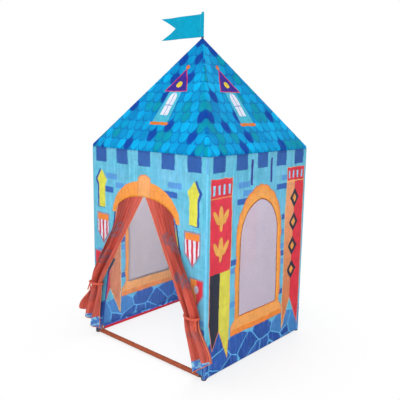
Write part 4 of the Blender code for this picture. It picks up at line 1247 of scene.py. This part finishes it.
def tie_back(name, side):
    centre = Vector((side * TIE_CENTRE, -TIE_FRONT, TIE_HEIGHT - TIE_DROP - TIE_WIDTH / 2)) + TENT_CENTRE

    def band_place(i, j):
        turn = tau * i / TIE_BAND_COLUMNS
        rise = j / TIE_BAND_ROWS * 2 - 1
        pucker = TIE_PUCKER * sin(turn * TIE_PUCKERS + rise * TIE_PUCKER_SLANT)
        pucker *= 1 - TIE_EDGE_CALM * rise * rise
        swell = TIE_SWELL * (1 - rise * rise) + pucker
        spot = Vector((cos(turn) * (TIE_HALF_WIDTH + swell), sin(turn) * (TIE_HALF_DEPTH + swell),
                       rise * TIE_WIDTH / 2 + TIE_WAVER * sin(turn * 2 + TIE_WAVER_TURN)))
        spot.y = min(spot.y, TIE_HALF_DEPTH - TIE_CLEARANCE)
        return centre + sided(spot, side), (turn * TIE_MEAN_RADIUS, rise * TIE_WIDTH / 2)

    band = finished(name + "_tie_band", cut_sheet(TIE_BAND_COLUMNS, TIE_BAND_ROWS, band_place), tie_finish,
                    name + "_curtain", CLOTH_THICKNESS)
    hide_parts(name + "_tie_back")

    knot_at = centre + Vector((side * TIE_HALF_WIDTH * cos(KNOT_TURN),
                               TIE_HALF_DEPTH * sin(KNOT_TURN), 0))
    bm = bmesh.new()
    bmesh.ops.create_icosphere(bm, subdivisions=4, radius=KNOT_RADIUS)
    for vert in bm.verts:
        swirl = sin(vert.co.z * KNOT_TWIST + atan2(vert.co.y, vert.co.x) * KNOT_STRANDS)
        vert.co *= 1 + KNOT_RELIEF * (swirl + noise.noise(vert.co * KNOT_GRAIN))
        vert.co.z *= KNOT_FLATNESS
    bmesh.ops.translate(bm, verts=bm.verts, vec=knot_at)
    knot = finished(name + "_tie_knot", bm, tie_finish, name + "_curtain")

    for number, lean in enumerate(TAIL_LEANS):
        def tail_place(i, j):
            down = j / TAIL_ROWS
            widen = TAIL_NECK_SHARE + (1 - TAIL_NECK_SHARE) * min(down * TAIL_NECK_END, 1)
            across = TAIL_WIDTH * widen * (i / TAIL_COLUMNS - 0.5)
            curl = sin(down * TAIL_CURL_TURN + number) * TAIL_CURL
            spot = Vector((lean * down * TAIL_SPREAD + across, curl - TAIL_START - TAIL_OUTWARDS * down,
                           -down * TAIL_LENGTH))
            return knot_at + sided(spot, side), (i * TAIL_CUT_STEP, down * TAIL_LENGTH)

        tail = finished(f"{name}_tie_tail_{number + 1}", cut_sheet(TAIL_COLUMNS, TAIL_ROWS, tail_place),
                        tie_finish, name + "_curtain", CLOTH_THICKNESS)


tie_back("left", -1)
tie_back("right", 1)


# Threshold: the front base tube crosses the doorway bare of wall, so a narrow sleeve of heavier
# brown cloth is slipped over it, with its seam at the back.
THRESHOLD_RADIUS = 0.010304
THRESHOLD_HALF = 0.3484
THRESHOLD_SLACK = 0.0006
THRESHOLD_SLACK_SCALES = (30, 1, 2)
THRESHOLD_PUCKER = 0.0004
THRESHOLD_PUCKER_WAVE = 260
THRESHOLD_PUCKER_SLANT = 2
THRESHOLD_ROWS = 24
THRESHOLD_COLUMNS = 120

threshold_cloth = Print("threshold_sleeve", 0.6, Specular_IOR_Level=0.3)
threshold_cloth.colour = threshold_cloth.cut.mottled(30.0, 3.0, "7e341a", "a8512e")
threshold_cloth.wash((20.0, 160.0, 1.0), 0.25)
threshold_cloth.emboss(1.0, 1.0, 0.0014)


def threshold_place(i, j):
    along = THRESHOLD_HALF * (i / THRESHOLD_COLUMNS * 2 - 1)
    turn = tau * j / THRESHOLD_ROWS
    slack = THRESHOLD_SLACK * abs(swell((along, cos(turn), sin(turn)), THRESHOLD_SLACK_SCALES))
    slack += THRESHOLD_PUCKER * (1 + sin(along * THRESHOLD_PUCKER_WAVE + turn * THRESHOLD_PUCKER_SLANT)) / 2
    radius = THRESHOLD_RADIUS + slack
    spot = Vector((along, -POLE_HALF + radius * cos(turn), BASE_HEIGHT + radius * sin(turn)))
    return spot + TENT_CENTRE, (along, turn * THRESHOLD_RADIUS)


threshold = finished("threshold_cover", cut_sheet(THRESHOLD_COLUMNS, THRESHOLD_ROWS, threshold_place),
                     threshold_cloth, "tent", CLOTH_THICKNESS)
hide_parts("threshold_sleeve")


# Mast and flag: a thin plastic rod stands in the roof hub, and the swallow-tailed flag's hem is a
# sleeve that turns round it. A push-on cap keeps the flag from slipping off.
FLAG_FOOT = 1.515457
FLAG_HEIGHT = 0.108
FLAG_LENGTH = 0.285
FLAG_NOTCH = 0.100
FLAG_WAVE = 0.006
FLAG_WAVE_LENGTH = 0.180
FLAG_CRUMPLE = 0.0012
FLAG_CRUMPLE_SCALES = (30, 4, 1)
FLAG_BEND_RUN = 0.02
FLAG_SLEEVE = 0.0063
FLAG_COLUMNS = 72
FLAG_ROWS = 24
FLAG_WRAP = 20
FLAG_THICKNESS = 0.0006

flag_cloth = Print("flag_cloth", 0.55, Specular_IOR_Level=0.06)
flag_cloth.colour = flag_cloth.cut.mottled(14.0, 3.0, "009ec4", "04b0d2")
flag_stitch = (0.0007 - abs(flag_cloth.across - 0.013)).over(0.0005)
flag_cloth.lay(flag_stitch * (flag_cloth.up.modulo(0.004) - 0.0012).over(0.0005), "7fdcea")
flag_cloth.wash((30.0, 60.0, 1.0), 0.12)
flag_cloth.emboss(0.15, 0.3, 0.0012)
flag_cloth.let_light_through(0.18, "00b0d4")


def flag_place(i, j):
    """The hem goes once round the mast, and the panel flies to -X with its edge cut to a notch."""
    rise = j / FLAG_ROWS
    foot = TENT_CENTRE + Vector((0, 0, FLAG_FOOT + rise * FLAG_HEIGHT))
    if i < FLAG_WRAP:
        turn = tau * (i / FLAG_WRAP) - pi / 2
        spot = Vector((FLAG_SLEEVE * cos(turn), FLAG_SLEEVE * sin(turn), 0))
        return spot + foot, ((i / FLAG_WRAP - 1) * tau * FLAG_SLEEVE, rise * FLAG_HEIGHT)
    share = (i - FLAG_WRAP) / FLAG_COLUMNS
    reach = FLAG_LENGTH - FLAG_NOTCH * (1 - abs(2 * rise - 1))
    run = share * reach
    wave = FLAG_WAVE * sin(tau * run / FLAG_WAVE_LENGTH) * run / FLAG_LENGTH
    wave += FLAG_CRUMPLE * swell((run, rise, 1), FLAG_CRUMPLE_SCALES) * share
    start = -FLAG_SLEEVE * (1 - smooth_step(0, FLAG_BEND_RUN, run))
    return Vector((-run, start + wave, 0)) + foot, (run, rise * FLAG_HEIGHT)


flag_panel = finished("flag_panel", cut_sheet(FLAG_WRAP + FLAG_COLUMNS, FLAG_ROWS, flag_place),
                      flag_cloth, "flag", FLAG_THICKNESS)
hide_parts("flag")


def plastic(name, colours, clouds, shine, grain, **constants):
    """A plastic's finish: clouded colour, uneven shine and a fine grain, each with its noise."""
    roughness, spread, patches = shine
    made = Finish(name, roughness, **constants)
    spot = made.place()
    made.feed("Base Color", spot.mottled(*clouds, *colours))
    if spread:
        made.feed("Roughness", spot.noise(patches) * spread + roughness)
    made.bump(spot.noise(*grain[:2]), grain[2])
    return made


def dress(node_name, finish):
    """Gives a solid of the CAD frame its finish."""
    materials = nodes[node_name].data.materials
    materials.clear()
    materials.append(finish.material)


dress("flag_mast", plastic("mast_plastic", ("2f3442", "464c5c"), (70.0, 3.0), (0.28, 0.20, 260.0),
                           (420.0, 2.0, 0.0003)))
dress("mast_cap", plastic("cap_plastic", ("0a86a4", "12a0be"), (120.0, 2.0), (0.42, 0.0, 0.0),
                          (420.0, 2.0, 0.0003), Specular_IOR_Level=0.3))


# Pole frame: drawn plastic tubes in pairs, each with a spigot in the next, push into moulded corner
# joints at the floor and the eaves and a hub at the peak. Only the joints' feet show outside.
tube_finish = plastic("tube_plastic", ("d9dade", "eceded"), (40.0, 3.0), (0.30, 0.25, 300.0),
                      (180.0, 3.0, 0.0003))
joint_finish = plastic("joint_plastic", ("3d2620", "553a30"), (55.0, 3.0), (0.38, 0.25, 240.0),
                       (500.0, 2.0, 0.0004))
for node_name in nodes:
    if node_name.endswith("_corner") or node_name == "roof_hub":
        dress(node_name, joint_finish)
    elif any(word in node_name for word in ("_tube", "_post", "_rafter")):
        dress(node_name, tube_finish)
